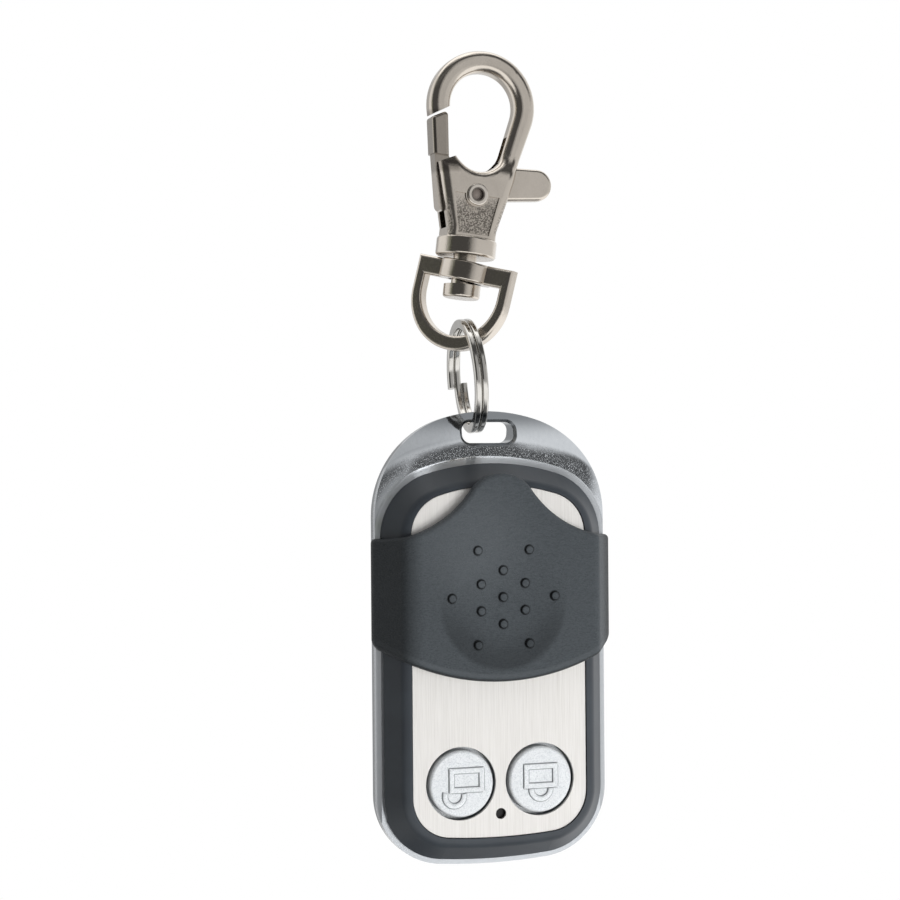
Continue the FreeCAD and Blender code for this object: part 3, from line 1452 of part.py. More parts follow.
def make_gate():
    """The gate: a block that shuts the nose, a hub on the rivet and a thumb lever."""
    body = new_body("clasp_gate")
    plate = new_sketch(body, "GatePlate", "XZ_Plane")
    reach = "lever_reach - lever_width / 2"
    half = "lever_width / 2"
    axis = "0 - pivot_drop"
    rise = f"0 - lever_drop + ({reach}) * tan(lever_slope)"
    notch = "0 - pivot_drop + gate_hub + 0.05"
    draw_points(
        plate,
        [
            ("0 - 4.6", "0 - 17.9", "0.85", 1),
            ("0 - 3.0", "0 - 18.1"),
            ("0 - gate_hub * cos(30)", f"{axis} - gate_hub * sin(30)", "gate_hub", 1),
            ("gate_hub * cos(14)", f"{axis} - gate_hub * sin(14)"),
            (
                f"{reach} + {half} * sin(lever_slope)",
                f"{rise} - {half} * cos(lever_slope)",
                half,
                1,
            ),
            (
                f"{reach} + {half} * cos(lever_slope)",
                f"{rise} + {half} * sin(lever_slope)",
                half,
                1,
            ),
            (f"{reach} - {half} * sin(lever_slope)", f"{rise} + {half} * cos(lever_slope)"),
            ("3.0", f"{rise} + {half} * cos(lever_slope) - ({reach} - 3) * tan(lever_slope)"),
            ("1.7", notch),
            ("0 - 1.7", notch),
            ("0 - 3.0", "0 - gate_step - 1.3"),
            ("0 - 3.9", "0 - gate_step"),
            ("0 - 4.6", "0 - 6.2"),
            ("0 - 6.6", "0 - 7.3"),
        ],
    )
    flat = add_pad(body, "Plate", plate, "gate_thickness", both=True)
    side = value("gate_thickness") / 2
    start = value("hook_waist") + 0.5

    def lever_rim(edge):
        face = on_plane(edge, "Y", side) or on_plane(edge, "Y", -side)
        return face and edge.BoundBox.XMax > start

    add_fillet(body, "LeverEdges", flat, lever_rim, "lever_edge")
    block = new_sketch(body, "GateBlock", "XZ_Plane")
    draw_points(
        block,
        [
            ("0 - 6.02", "0 - gate_step"),
            ("0 - 3.9", "0 - gate_step"),
            ("0 - 4.65", "0 - 5.65"),
            ("0 - 6.72", "0 - 6.8"),
        ],
    )
    raised = add_pad(body, "Block", block, "gate_depth", both=True)
    deep = value("gate_depth") / 2
    step = -value("gate_step")

    def block_rim(edge):
        face = on_plane(edge, "Y", deep) or on_plane(edge, "Y", -deep)
        crown = edge.BoundBox.ZMin > -8 and edge.BoundBox.YLength > deep
        return (face or crown) and not on_plane(edge, "Z", step)

    add_fillet(body, "BlockEdges", raised, block_rim, "gate_edge")
    bore = new_sketch(body, "HubBore", "XZ_Plane")
    draw_circle(bore, "0", axis, "rivet_width / 2 + rivet_clearance")
    add_pocket(body, "Bore", bore)
    return body


def make_rivet():
    """The tubular rivet: a sleeve through both cheeks with a rolled head at each end."""
    body = new_body("gate_rivet")
    thick = "body_thickness / 2"
    middle = new_sketch(body, "Sleeve", "XZ_Plane")
    draw_circle(middle, "0", "0 - pivot_drop", "rivet_width / 2")
    add_pad(body, "RivetSleeve", middle, "body_thickness", both=True)
    for name, offset, back in (("Front", thick, False), ("Back", f"0 - {thick}", True)):
        head = new_sketch(body, "Head" + name, "XZ_Plane", offset)
        draw_circle(head, "0", "0 - pivot_drop", "rivet_head / 2")
        rolled = add_pad(body, "RivetHead" + name, head, "rivet_head_height", back=back)
        top = (1 if back else -1) * value(f"{thick} + rivet_head_height")
        edges = lambda e, y=top: on_plane(e, "Y", y)
        add_fillet(body, "Roll" + name, rolled, edges, "rivet_head_height - 0.08")
    bore = new_sketch(body, "RivetBoreHole", "XZ_Plane")
    draw_circle(bore, "0", "0 - pivot_drop", "rivet_bore / 2")
    add_pocket(body, "RivetTube", bore)
    return body


def make_coil(label, radius, wire, height, turns):
    """A round-wire coil that stands along Z from the origin."""
    path = Part.makeHelix(height / turns, height, radius)
    start = Part.makeCircle(wire / 2, Vector(radius, 0, 0), Vector(0, 1, 0))
    coil = Part.Wire(path.Edges).makePipeShell([Part.Wire([start])], True, True)
    feature = doc.addObject("Part::Feature", label)
    feature.Label = label
    feature.Shape = coil
    return feature


def make_antenna():
    """The antenna: an air-wound coil that lies along the board's lower edge."""
    span = value("antenna_length")
    wire = value("antenna_wire")
    radius = value("antenna_width / 2 - antenna_wire / 2")
    feature = make_coil("antenna_coil", radius, wire, span, 5)
    feature.Placement.Rotation = Rotation(Vector(0, 1, 0), 90)
    bind(feature, ".Placement.Base.x", f"{FOB_X} - antenna_length / 2")
    bind(feature, ".Placement.Base.y", "board_thickness - board_front + antenna_width / 2")
    bind(feature, ".Placement.Base.z", f"{FOB_Z} + lower_row - 2.4")
    return feature


def make_spring():
    """The coil under the lever that shuts the gate."""
    wire = value("spring_wire")
    height = value("slot_floor - pivot_drop - 0.55") - wire
    radius = value("spring_width / 2 - spring_wire / 2")
    feature = make_coil("gate_spring", radius, wire, height, value("spring_turns"))
    stand = Placement(Vector(value("spring_x"), 0, wire / 2 - value("slot_floor")), Rotation())
    feature.Placement = hook_pose().multiply(stand)
    return feature


# Rest pose: the chain from the eye down to the fob


def hook_pose():
    """Pose of the clasp: its top leans to the right."""
    return Placement(Vector(), Rotation(Vector(0, 1, 0), value("hook_lean")))


def hang(body, x, z, rotation, y="0"):
    """Set a body's pose, with its place bound to the sheet."""
    body.Placement = Placement(Vector(value(x), value(y), value(z)), rotation)
    bind(body, ".Placement.Base.x", x)
    bind(body, ".Placement.Base.y", y)
    bind(body, ".Placement.Base.z", z)


def check_and_write(pieces):
    """Check every object, then write each piece to its own file."""
    doc.recompute()
    for item in doc.Objects:
        if "Invalid" in item.State or "Error" in item.State:
            raise RuntimeError(f"{item.Label} failed: {item.State}")
    for piece in pieces:
        if piece.Shape.isNull() or not piece.Shape.isValid():
            raise RuntimeError(f"{piece.Label} has no valid shape")
    os.makedirs("parts", exist_ok=True)
    for piece in pieces:
        piece.Shape.exportStep(f"parts/{piece.Label}.step")
        print(piece.Label, len(piece.Shape.Solids), round(piece.Shape.Volume, 2))


rigid = [make_frame(), make_front_shell(), make_plate(), make_adhesive(), make_back_cover()]
rigid += [make_screws(), make_switches(), make_board(), make_contact(), make_chip()]
rigid += [make_passives(), make_slider()]
for piece in rigid:
    if ".Placement.Base.x" not in [entry[0] for entry in piece.ExpressionEngine]:
        hang(piece, FOB_X, FOB_Z, Rotation())
loose = [make_lamp(), make_cell(), make_clip(), make_resonator(), make_antenna()]
for spot, (spot_x, spot_z) in BUTTONS.items():
    loose.append(make_button(spot, spot_x, spot_z))
    loose.append(make_plunger(spot, spot_x, spot_z))
clasp = [make_hook(), make_gate(), make_rivet()]
for piece in clasp:
    piece.Placement = hook_pose()
clasp.append(make_spring())
lean_axis = Vector(0, 1, 0)
spin_axis = Vector(0, 0, 1)
swivel = make_loop()
loop_turn = Rotation(lean_axis, value("loop_lean")).multiply(Rotation(spin_axis, value("loop_spin")))
loop_turn = loop_turn.multiply(Rotation(lean_axis, value("loop_tilt")))
hang(swivel, LOOP_X, LOOP_Z, loop_turn, LOOP_Y)
ring = make_ring()
ring_turn = Rotation(lean_axis, -value("ring_lean")).multiply(Rotation(spin_axis, value("ring_spin")))
hang(ring, RING_X, RING_Z, ring_turn)
check_and_write(clasp + [swivel, ring] + rigid + loose)
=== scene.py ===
"""Finishes, small raised details and studio of the learning remote key fob.

The fob hangs on a snap hook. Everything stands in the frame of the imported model: Z is up, the face of
the fob looks along -Y, and the origin is the middle of the hook's eye. Fields and arguments are in
millimetres and degrees, unless they say metres.
"""

import logging
import math
from dataclasses import dataclass
from enum import Enum

import bmesh
import bpy
from mathutils import Matrix, Vector


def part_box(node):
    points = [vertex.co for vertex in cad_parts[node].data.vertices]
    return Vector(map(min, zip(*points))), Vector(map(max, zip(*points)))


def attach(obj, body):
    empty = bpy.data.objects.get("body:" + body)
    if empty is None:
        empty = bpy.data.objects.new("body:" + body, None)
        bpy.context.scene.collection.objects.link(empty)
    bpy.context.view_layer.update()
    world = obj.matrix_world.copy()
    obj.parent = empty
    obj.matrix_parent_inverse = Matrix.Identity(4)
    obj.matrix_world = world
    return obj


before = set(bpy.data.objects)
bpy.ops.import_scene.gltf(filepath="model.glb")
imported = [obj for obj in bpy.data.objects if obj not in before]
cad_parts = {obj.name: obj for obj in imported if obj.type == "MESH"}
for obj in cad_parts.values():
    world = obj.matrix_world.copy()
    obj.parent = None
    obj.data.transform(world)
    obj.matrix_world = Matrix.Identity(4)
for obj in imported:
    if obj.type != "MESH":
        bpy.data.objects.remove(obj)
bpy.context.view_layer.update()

MM = 0.001
DEGREE = 180 / math.pi
KNEE, SLOPE, OFFSET, GAMMA = 0.04045, 12.92, 0.055, 2.4
WHITE = (1.0, 1.0, 1.0, 1.0)
SHARP = 35.0
FACING = Matrix.Rotation(math.radians(90), 4, "X")
Span = tuple[float, float]
Place = tuple[float, float, float]
Socket = bpy.types.NodeSocket
Form = bmesh.types.BMesh
log = logging.getLogger("key_fob")


def paint(code: str) -> tuple[float, float, float, float]:
    """Turn a colour as it looks on screen into the shader's linear colour.

    Args:
        code: six hexadecimal digits, red, green and blue.

    Returns:
        Linear red, green and blue, and an alpha of 1.
    """
    shades = [int(code[i:i + 2], 16) / 255 for i in (0, 2, 4)]
    linear = [s / SLOPE if s <= KNEE else ((s + OFFSET) / (1 + OFFSET)) ** GAMMA for s in shades]
    return (*linear, 1.0)


class Signal:
    """A number that varies over a surface, on which ordinary arithmetic works."""

    def __init__(self, graph: "Graph", socket: Socket) -> None:
        """Keep the socket that carries the number.

        Args:
            graph: the node tree that the number is in.
            socket: the output that carries it.
        """
        self.graph = graph
        self.socket = socket

    def maths(self, operation: str, *terms: "Signal | float") -> "Signal":
        """Add one Math node.

        Args:
            operation: the Math node's operation.
            terms: its inputs, in order.

        Returns:
            The result.
        """
        node = self.graph.add("Math", {"operation": operation}, dict(enumerate(terms)))
        return Signal(self.graph, node.outputs[0])

    def __add__(self, other: "Signal | float") -> "Signal":
        """Sum."""
        return self.maths("ADD", self, other)

    __radd__ = __add__

    def __sub__(self, other: "Signal | float") -> "Signal":
        """Difference."""
        return self.maths("SUBTRACT", self, other)

    def __rsub__(self, other: float) -> "Signal":
        """Difference from a number."""
        return self.maths("SUBTRACT", other, self)

    def __mul__(self, other: "Signal | float") -> "Signal":
        """Product."""
        return self.maths("MULTIPLY", self, other)

    def __truediv__(self, other: "Signal | float") -> "Signal":
        """Quotient."""
        return self.maths("DIVIDE", self, other)

    def __pow__(self, other: float) -> "Signal":
        """Power."""
        return self.maths("POWER", self, other)

    def __abs__(self) -> "Signal":
        """Size without sign."""
        return self.maths("ABSOLUTE", self)

    def smaller(self, other: "Signal | float") -> "Signal":
        """The smaller of two."""
        return self.maths("MINIMUM", self, other)

    def larger(self, other: "Signal | float") -> "Signal":
        """The larger of two."""
        return self.maths("MAXIMUM", self, other)

    def hypot(self, other: "Signal") -> "Signal":
        """Length of the diagonal over this one and another."""
        return (self * self + other * other) ** 0.5

    def rise(self, low: float, high: float) -> "Signal":
        """Go smoothly from 0 to 1.

        Args:
            low: where it leaves 0, which may be above high for a fall.
            high: where it reaches 1.

        Returns:
            The smooth step.
        """
        start, end = (low, high) if low < high else (high, low)
        node = self.graph.add("MapRange", {"interpolation_type": "SMOOTHSTEP"},
                              {"Value": self, "From Min": start, "From Max": end})
        step = Signal(self.graph, node.outputs["Result"])
        return step if low < high else 1 - step

    def band(self, low: float, high: float, soft: float) -> "Signal":
        """Be 1 between two limits and 0 outside them.

        Args:
            low: the lower limit, where it is a half.
            high: the upper limit, where it is a half.
            soft: how wide each edge is.

        Returns:
            The soft band.
        """
        return self.rise(low - soft / 2, low + soft / 2) * self.rise(high + soft / 2, high - soft / 2)


class Graph:
    """The nodes of one material or of the world."""

    def __init__(self, owner: bpy.types.Material | bpy.types.World) -> None:
        """Start from an empty node tree.

        Args:
            owner: the material or world whose nodes these are.
        """
        owner.use_nodes = True
        self.tree = owner.node_tree
        self.tree.nodes.clear()

    def add(self, kind: str, settings: dict | None = None,
            sockets: dict | None = None) -> bpy.types.Node:
        """Add one node.

        Args:
            kind: its type, without ShaderNode.
            settings: its own settings, set first.
            sockets: values, colour codes or links of its inputs, by name or number.

        Returns:
            The node.
        """
        node = self.tree.nodes.new("ShaderNode" + kind)
        for name, value in (settings or {}).items():
            setattr(node, name, value)
        for key, value in (sockets or {}).items():
            target = node.inputs[key]
            if isinstance(value, Signal):
                value = value.socket
            elif isinstance(value, str):
                value = paint(value)
            if isinstance(value, Socket):
                self.tree.links.new(value, target)
            else:
                target.default_value = value
        return node

    def place(self, size: Place | float = 1.0, turn: Place = (0, 0, 0)) -> Socket:
        """Object coordinates in units of a size.

        Args:
            size: length of one unit, the same along every axis or one for each.
            turn: how the pattern is turned.

        Returns:
            The vector socket.
        """
        sizes = size if isinstance(size, tuple) else (size, size, size)
        here = self.add("TexCoord").outputs["Object"]
        mapping = self.add("Mapping", {"vector_type": "TEXTURE"},
                           {"Vector": here, "Rotation": [math.radians(a) for a in turn],
                            "Scale": [s * MM for s in sizes]})
        return mapping.outputs["Vector"]

    def axes(self, vector: Socket | None = None) -> tuple[Signal, Signal, Signal]:
        """The three parts of a vector.

        Args:
            vector: its socket; without one, the place on the object.

        Returns:
            X, Y and Z.
        """
        parts = self.add("SeparateXYZ", None, {0: self.place() if vector is None else vector})
        return tuple(Signal(self, parts.outputs[i]) for i in range(3))

    def noise(self, size: Place | float, detail: float = 2.0, rough: float = 0.5,
              warp: float = 0.0, turn: Place = (0, 0, 0)) -> Signal:
        """Cloudy noise.

        Args:
            size: size of a blot, the same along every axis or one for each.
            detail: how many finer layers it has.
            rough: how strong the finer layers are.
            warp: how far it is stirred.
            turn: how the blots are turned.

        Returns:
            Noise around 0.5.
        """
        node = self.add("TexNoise", {"noise_dimensions": "3D"},
                        {"Vector": self.place(size, turn), "Scale": 1.0, "Detail": detail,
                         "Roughness": rough, "Distortion": warp})
        return Signal(self, node.outputs["Fac"])

    def cells(self, size: Place | float, feature: str, output: str) -> Socket:
        """A field of scattered cells.

        Args:
            size: size of a cell, the same along every axis or one for each.
            feature: which point or edge is looked for.
            output: what is read of it.

        Returns:
            The output's socket.
        """
        node = self.add("TexVoronoi", {"feature": feature}, {"Vector": self.place(size), "Scale": 1.0})
        return node.outputs[output]

    def rays(self, *kinds: str) -> Signal:
        """Be 1 for some kinds of ray and 0 for the others.

        Args:
            kinds: the Light Path node's outputs.

        Returns:
            The mask.
        """
        path = self.add("LightPath")
        mask = Signal(self, path.outputs[kinds[0]])
        for kind in kinds[1:]:
            mask = mask.larger(Signal(self, path.outputs[kind]))
        return mask

    def blend(self, factor: Signal | float, first: object, second: object) -> Socket:
        """Mix two colours.

        Args:
            factor: share of the second.
            first, second: colour codes, colours or links.

        Returns:
            The mixed colour's socket.
        """
        node = self.add("Mix", {"data_type": "RGBA"}, {0: factor, 6: first, 7: second})
        return node.outputs[2]

    def relief(self, height: Signal, depth: float, strength: float = 1.0,
               under: Socket | None = None) -> Socket:
        """Bump a surface.

        Args:
            height: how far the surface stands out, in units of the depth.
            depth: length of that unit.
            strength: how much of it is used.
            under: a coarser bump that this one lies on.

        Returns:
            The normal's socket.
        """
        sockets = {"Height": height, "Distance": depth * MM, "Strength": strength}
        if under is not None:
            sockets["Normal"] = under
        return self.add("Bump", None, sockets).outputs["Normal"]


class Finish:
    """What every finish shares: a name, and one surface shader."""

    label = "finish"

    def surface(self, graph: Graph) -> dict:
        """Sockets of the surface shader.

        Args:
            graph: the material's nodes.

        Returns:
            Values or links by the name of their socket.
        """
        raise NotImplementedError

    def shader(self, graph: Graph) -> Socket:
        """Make the shader that the surface is drawn with.

        Args:
            graph: the material's nodes.

        Returns:
            The shader's socket.
        """
        return graph.add("BsdfPrincipled", None, self.surface(graph)).outputs[0]

    def material(self) -> bpy.types.Material:
        """Make the material, once.

        Returns:
            The material.
        """
        made = bpy.data.materials.get(self.label)
        if made is None:
            made = bpy.data.materials.new(self.label)
            graph = Graph(made)
            graph.add("OutputMaterial", None, {"Surface": self.shader(graph)})
        return made


@dataclass(frozen=True)
class CastNickel(Finish):
    """Die-cast metal, tumbled and nickel plated, with a pebbled skin where tools can't polish it.

    Attributes:
        bright, dull, shade, pit: colours of the open faces, their clouds, the painted reflection of a
            dim
        room on the gate's outer faces, and the gaps between pebbles.
        roughness: roughness of the open faces.
        blot, pebble, skin: sizes of the three grains.
        floor, open, low, high: y and z between which the recess is pebbled.
        gate_x, gate_z, gate_soft: where the gate's outer faces are, and how softly they end.
        gate_share, pit_share: how strong their shades are.
        pit_grain: grain at which a pit starts and is full.
        depth: how deep the relief is.
    """

    label: str = "cast_nickel"
    bright: str = "D0C8BE"
    dull: str = "B7AFA4"
    shade: str = "7C756D"
    pit: str = "5F5A54"
    roughness: float = 0.1
    blot: float = 2.5
    pebble: float = 0.2
    skin: float = 0.05
    floor: Span = (-2.55, -2.38)
    open: Span = (-1.6, -2.0)
    low: Span = (-21.5, -20.7)
    high: Span = (-15.5, -18.5)
    gate_x: Span = (-3.5, -4.5)
    gate_z: Span = (-13.0, -5.1)
    gate_soft: float = 0.6
    gate_share: float = 0.6
    pit_share: float = 0.8
    pit_grain: Span = (0.57, 0.44)
    depth: float = 0.14

    def surface(self, graph: Graph) -> dict:
        """Sockets of the shader, as in Finish."""
        x, y, z = graph.axes()
        cloud = graph.noise(self.blot, 3.0)
        grain = graph.noise(self.pebble, 2.0, 0.6)
        fine = graph.noise(self.skin, 1.0)
        recess = z.rise(*self.low) * z.rise(*self.high)
        coarse = y.rise(*self.floor) * recess * y.rise(*self.open)
        # gate: the gate's outer faces, which take a painted reflection of a dim room
        gate = x.rise(*self.gate_x) * z.band(*self.gate_z, self.gate_soft)
        tone = graph.blend(cloud * 0.6, self.bright, self.dull)
        # painted reflection: the gate's outer faces are darkened toward the shade colour
        tone = graph.blend(gate * self.gate_share, tone, self.shade)
        tone = graph.blend(grain.rise(*self.pit_grain) * coarse * self.pit_share, tone, self.pit)
        height = fine * 0.05 + cloud * 0.3 + grain * (coarse * 0.95 + 0.04)
        return {"Base Color": tone, "Metallic": 1.0,
                "Roughness": cloud * 0.08 + coarse * 0.2 + self.roughness,
                "Normal": graph.relief(height, self.depth, 0.8)}


@dataclass(frozen=True)
class PlatedSteel(Finish):
    """Bright plated steel, as on the ring, the springs and the screws.

    Attributes:
        bright, dull: colours of its clean and its hazy patches.
        roughness: roughness where it isn't scuffed.
        blot, scratch, lean: sizes of a patch and a scuff, and the scuffs' turn.
        depth: how deep the scuffs are.
    """

    label: str = "plated_steel"
    bright: str = "D8D6D2"
    dull: str = "B9B6B0"
    roughness: float = 0.1
    blot: float = 1.4
    scratch: Place = (0.06, 0.06, 0.4)
    lean: Place = (20, 35, 0)
    depth: float = 0.004

    def surface(self, graph: Graph) -> dict:
        """Sockets of the shader, as in Finish."""
        cloud = graph.noise(self.blot, 4.0)
        scuff = graph.noise(self.scratch, 2.0, 0.7, turn=self.lean)
        tone = graph.blend(cloud, self.bright, self.dull)
        return {"Base Color": tone, "Metallic": 1.0,
                "Roughness": scuff.rise(0.45, 0.9) * 0.12 + self.roughness,
                "Normal": graph.relief(scuff, self.depth, 0.35)}


@dataclass(frozen=True)
class SwagedSteel(Finish):
    """The tubular rivet: a polished rolled rim around a bore that plating and light hardly reach.

    Attributes:
        bright, bore, step: colours of the rim, of the bore, less plated and with painted shade, and of
            the
        painted shade ring at the rim's inner edge.
        middle, radius: x and z of the rivet's axis, and the bore's radius.
        soft, ring_soft: how softly the bore and the inner edge end.
        ring, ring_share: where the painted shade ring at the inner edge is, from the radius outwards,
            and
        how strong it is.
        roughness: roughness of the rim.
    """

    label: str = "swaged_steel"
    bright: str = "D6CFC6"
    bore: str = "8F857E"
    step: str = "4E4843"
    middle: Span = (-1.8505, -15.9933)
    radius: float = 0.78
    soft: float = 0.06
    ring: Span = (-0.06, 0.14)
    ring_soft: float = 0.1
    ring_share: float = 0.8
    roughness: float = 0.12

    def surface(self, graph: Graph) -> dict:
        """Sockets of the shader, as in Finish."""
        x, _, z = graph.axes()
        away = (x - self.middle[0]).hypot(z - self.middle[1])
        inner = away.rise(self.radius + self.soft, self.radius - self.soft)
        edge = away.band(self.radius + self.ring[0], self.radius + self.ring[1], self.ring_soft)
        cloud = graph.noise(0.4, 3.0)
        # the bore: less plating, darkened further with painted shade
        tone = graph.blend(inner, self.bright, self.bore)
        # painted shade: a dark ring at the bore's edge
        tone = graph.blend(edge * self.ring_share, tone, self.step)
        return {"Base Color": tone, "Metallic": 1 - inner * 0.7,
                "Roughness": cloud * 0.1 + inner * 0.3 + self.roughness,
                "Normal": graph.relief(cloud, 0.03, 0.4)}


@dataclass(frozen=True)
class SatinChrome(Finish):
    """Chrome on a die casting that sweeps up to the shell, with the pits and scuffs of handling.

    Across and up are measured from the fob's middle.

    Attributes:
        bright, dull, turned: colours where it is clear, cloudy, and turned from the light (painted
            shade).
        roughness: roughness where it is clean.
        middle: x and z of the fob's middle.
        half, top, crown, shoulder: the shell's half width, height, crown radius, shoulder radius.
        front, edge: y over which the sweep begins to show, and over which the edge turns away and takes
        painted shade.
        edge_share, flat_share, mouth_share: how strong the painted shade is on the edge, left flat and
        slot's mouth.
        slot, slot_half, slot_corner: the key slot's height, half its straight sides, its corners.
        mouth, mouth_soft: where its rounded mouth is, outwards, and how softly it ends.
        sweep, sweep_rise, lip, lip_rise: width and rise of the sweep, and of the lip that ends it.
        lip_share, left_share: how strong the painted highlight, a matt bright line, is on the lip and
            the
        left flank.
        flat, left: across, over which the left flat takes painted shade, and the left flank the painted
        highlight.
        pitted, brushed: up, over which pits show, and over which the lip is rougher.
        peel, speck, depth: sizes of the two grains, and their depth.
    """

    label: str = "satin_chrome"
    bright: str = "E6EAEE"
    dull: str = "C3C9D0"
    turned: str = "7C8084"
    roughness: float = 0.05
    middle: Span = (-0.286, -72.7123)
    half: float = 14.83
    top: float = 22.3
    crown: float = 30.0
    shoulder: float = 8.5
    front: Span = (-1.2, -1.5)
    edge: Span = (-1.8, -1.1)
    edge_share: float = 0.85
    flat_share: float = 0.35
    mouth_share: float = 0.6
    flat: Span = (2, -8)
    slot: float = 26.25
    slot_half: Span = (2.4, 0.25)
    slot_corner: float = 1.1
    mouth: Span = (0.02, 0.4)
    mouth_soft: float = 0.12
    sweep: float = 3.5
    sweep_rise: float = 1.15
    lip: float = 1.0
    lip_rise: float = 1.4
    lip_share: float = 0.6
    left_share: float = 0.4
    left: Span = (-9, -13)
    pitted: Span = (14, 20)
    brushed: Span = (8, 14)
    peel: float = 0.5
    speck: float = 0.11
    depth: float = 0.035

    def beyond_shell(self, across: Signal, up: Signal) -> Signal:
        """Distance outwards from the shell's upper outline.

        Args:
            across, up: where it is read, from the fob's middle.

        Returns:
            The distance.
        """
        reach = self.half - self.shoulder
        low = self.top - self.crown
        level = low + math.sqrt((self.crown - self.shoulder) ** 2 - reach ** 2)
        side = abs(across)
        corner = (side - reach).hypot((up - level).larger(0.0)) - self.shoulder
        above = up - low
        arch = across.hypot(above) - self.crown
        beside = side.maths("GREATER_THAN", side, above * (reach / (level - low)))
        return arch + beside * (corner - arch)

    def at_mouth(self, across: Signal, up: Signal) -> Signal:
        """Be 1 on the rounded mouth of the key slot.

        Args:
            across, up: where it is read, from the fob's middle.

        Returns:
            The mask.
        """
        beside = (abs(across) - self.slot_half[0]).larger(0.0)
        over = (abs(up - self.slot) - self.slot_half[1]).larger(0.0)
        return (beside.hypot(over) - self.slot_corner).band(*self.mouth, self.mouth_soft)

    def surface(self, graph: Graph) -> dict:
        """Sockets of the shader, as in Finish."""
        x, y, z = graph.axes()
        across = x - self.middle[0]
        up = z - self.middle[1]
        away = self.beyond_shell(across, up).larger(0.0)
        front = y.rise(*self.front)
        mouth = self.at_mouth(across, up)
        sweep = (1 - away / self.sweep).larger(0.0)
        lip = (1 - away / self.lip).larger(0.0)
        cove = (sweep ** 1.5 * self.sweep_rise + lip * lip * self.lip_rise) * front
        peel = graph.noise(self.peel, 3.0)
        speck = graph.noise(self.speck, 2.0, 0.6)
        pits = speck.rise(0.58, 0.7) * sweep.rise(0.1, 0.5) * (1 - lip) * up.rise(*self.pitted)
        # painted shade: the rounded edge, the slot's mouth and the left flat take the darker turned
        # colour
        edge = y.rise(*self.edge) * self.edge_share
        flat = across.rise(*self.flat) * sweep.rise(0.2, 0.0) * self.flat_share
        tone = graph.blend(peel * 0.4, self.bright, self.dull)
        # painted shade on the edge, the slot's mouth and the left flat
        tone = graph.blend(edge.larger(mouth * self.mouth_share), tone, self.turned)
        tone = graph.blend(flat, tone, self.turned)
        # painted highlight: less metal on the lip and the left flank lets the bright colour show as a
        # lit line
        left = across.rise(*self.left) * sweep.rise(0.25, 0.75) * self.left_share
        painted_highlight = (lip.rise(0.05, 0.5) * self.lip_share).larger(left) * front
        scuff = (pits * 0.3).larger(lip.rise(0.0, 0.4) * up.rise(*self.brushed) * 0.08)
        swept = graph.relief(cove, 1.0)
        # Metallic falls where the painted highlight is
        return {"Base Color": tone, "Metallic": 1 - painted_highlight,
                "Roughness": scuff + mouth * 0.25 + speck * 0.05 + self.roughness,
                "Normal": graph.relief(pits * 0.8 + peel * 0.2, self.depth, 0.8, swept)}


@dataclass(frozen=True)
class SatinBlack(Finish):
    """Black moulded shell with a fine spark-eroded skin.

    Attributes:
        body, wear_and_sheen: colours of its fresh skin and of its patches of wear, which lie at random.
        roughness: roughness at its smoothest.
        blot, grain, depth: sizes of a patch and of the grain, and its depth.
    """

    label: str = "satin_black"
    body: str = "353A40"
    wear_and_sheen: str = "3C4248"
    roughness: float = 0.36
    blot: float = 4.0
    grain: float = 0.07
    depth: float = 0.012

    def surface(self, graph: Graph) -> dict:
        """Sockets of the shader, as in Finish."""
        grain = graph.noise(self.grain, 2.0, 0.6)
        cloud = graph.noise(self.blot, 3.0)
        tone = graph.blend(cloud.rise(0.35, 0.7) * 0.6, self.body, self.wear_and_sheen)
        return {"Base Color": tone, "Roughness": cloud * 0.12 + self.roughness,
                "Normal": graph.relief(grain, self.depth, 0.5)}


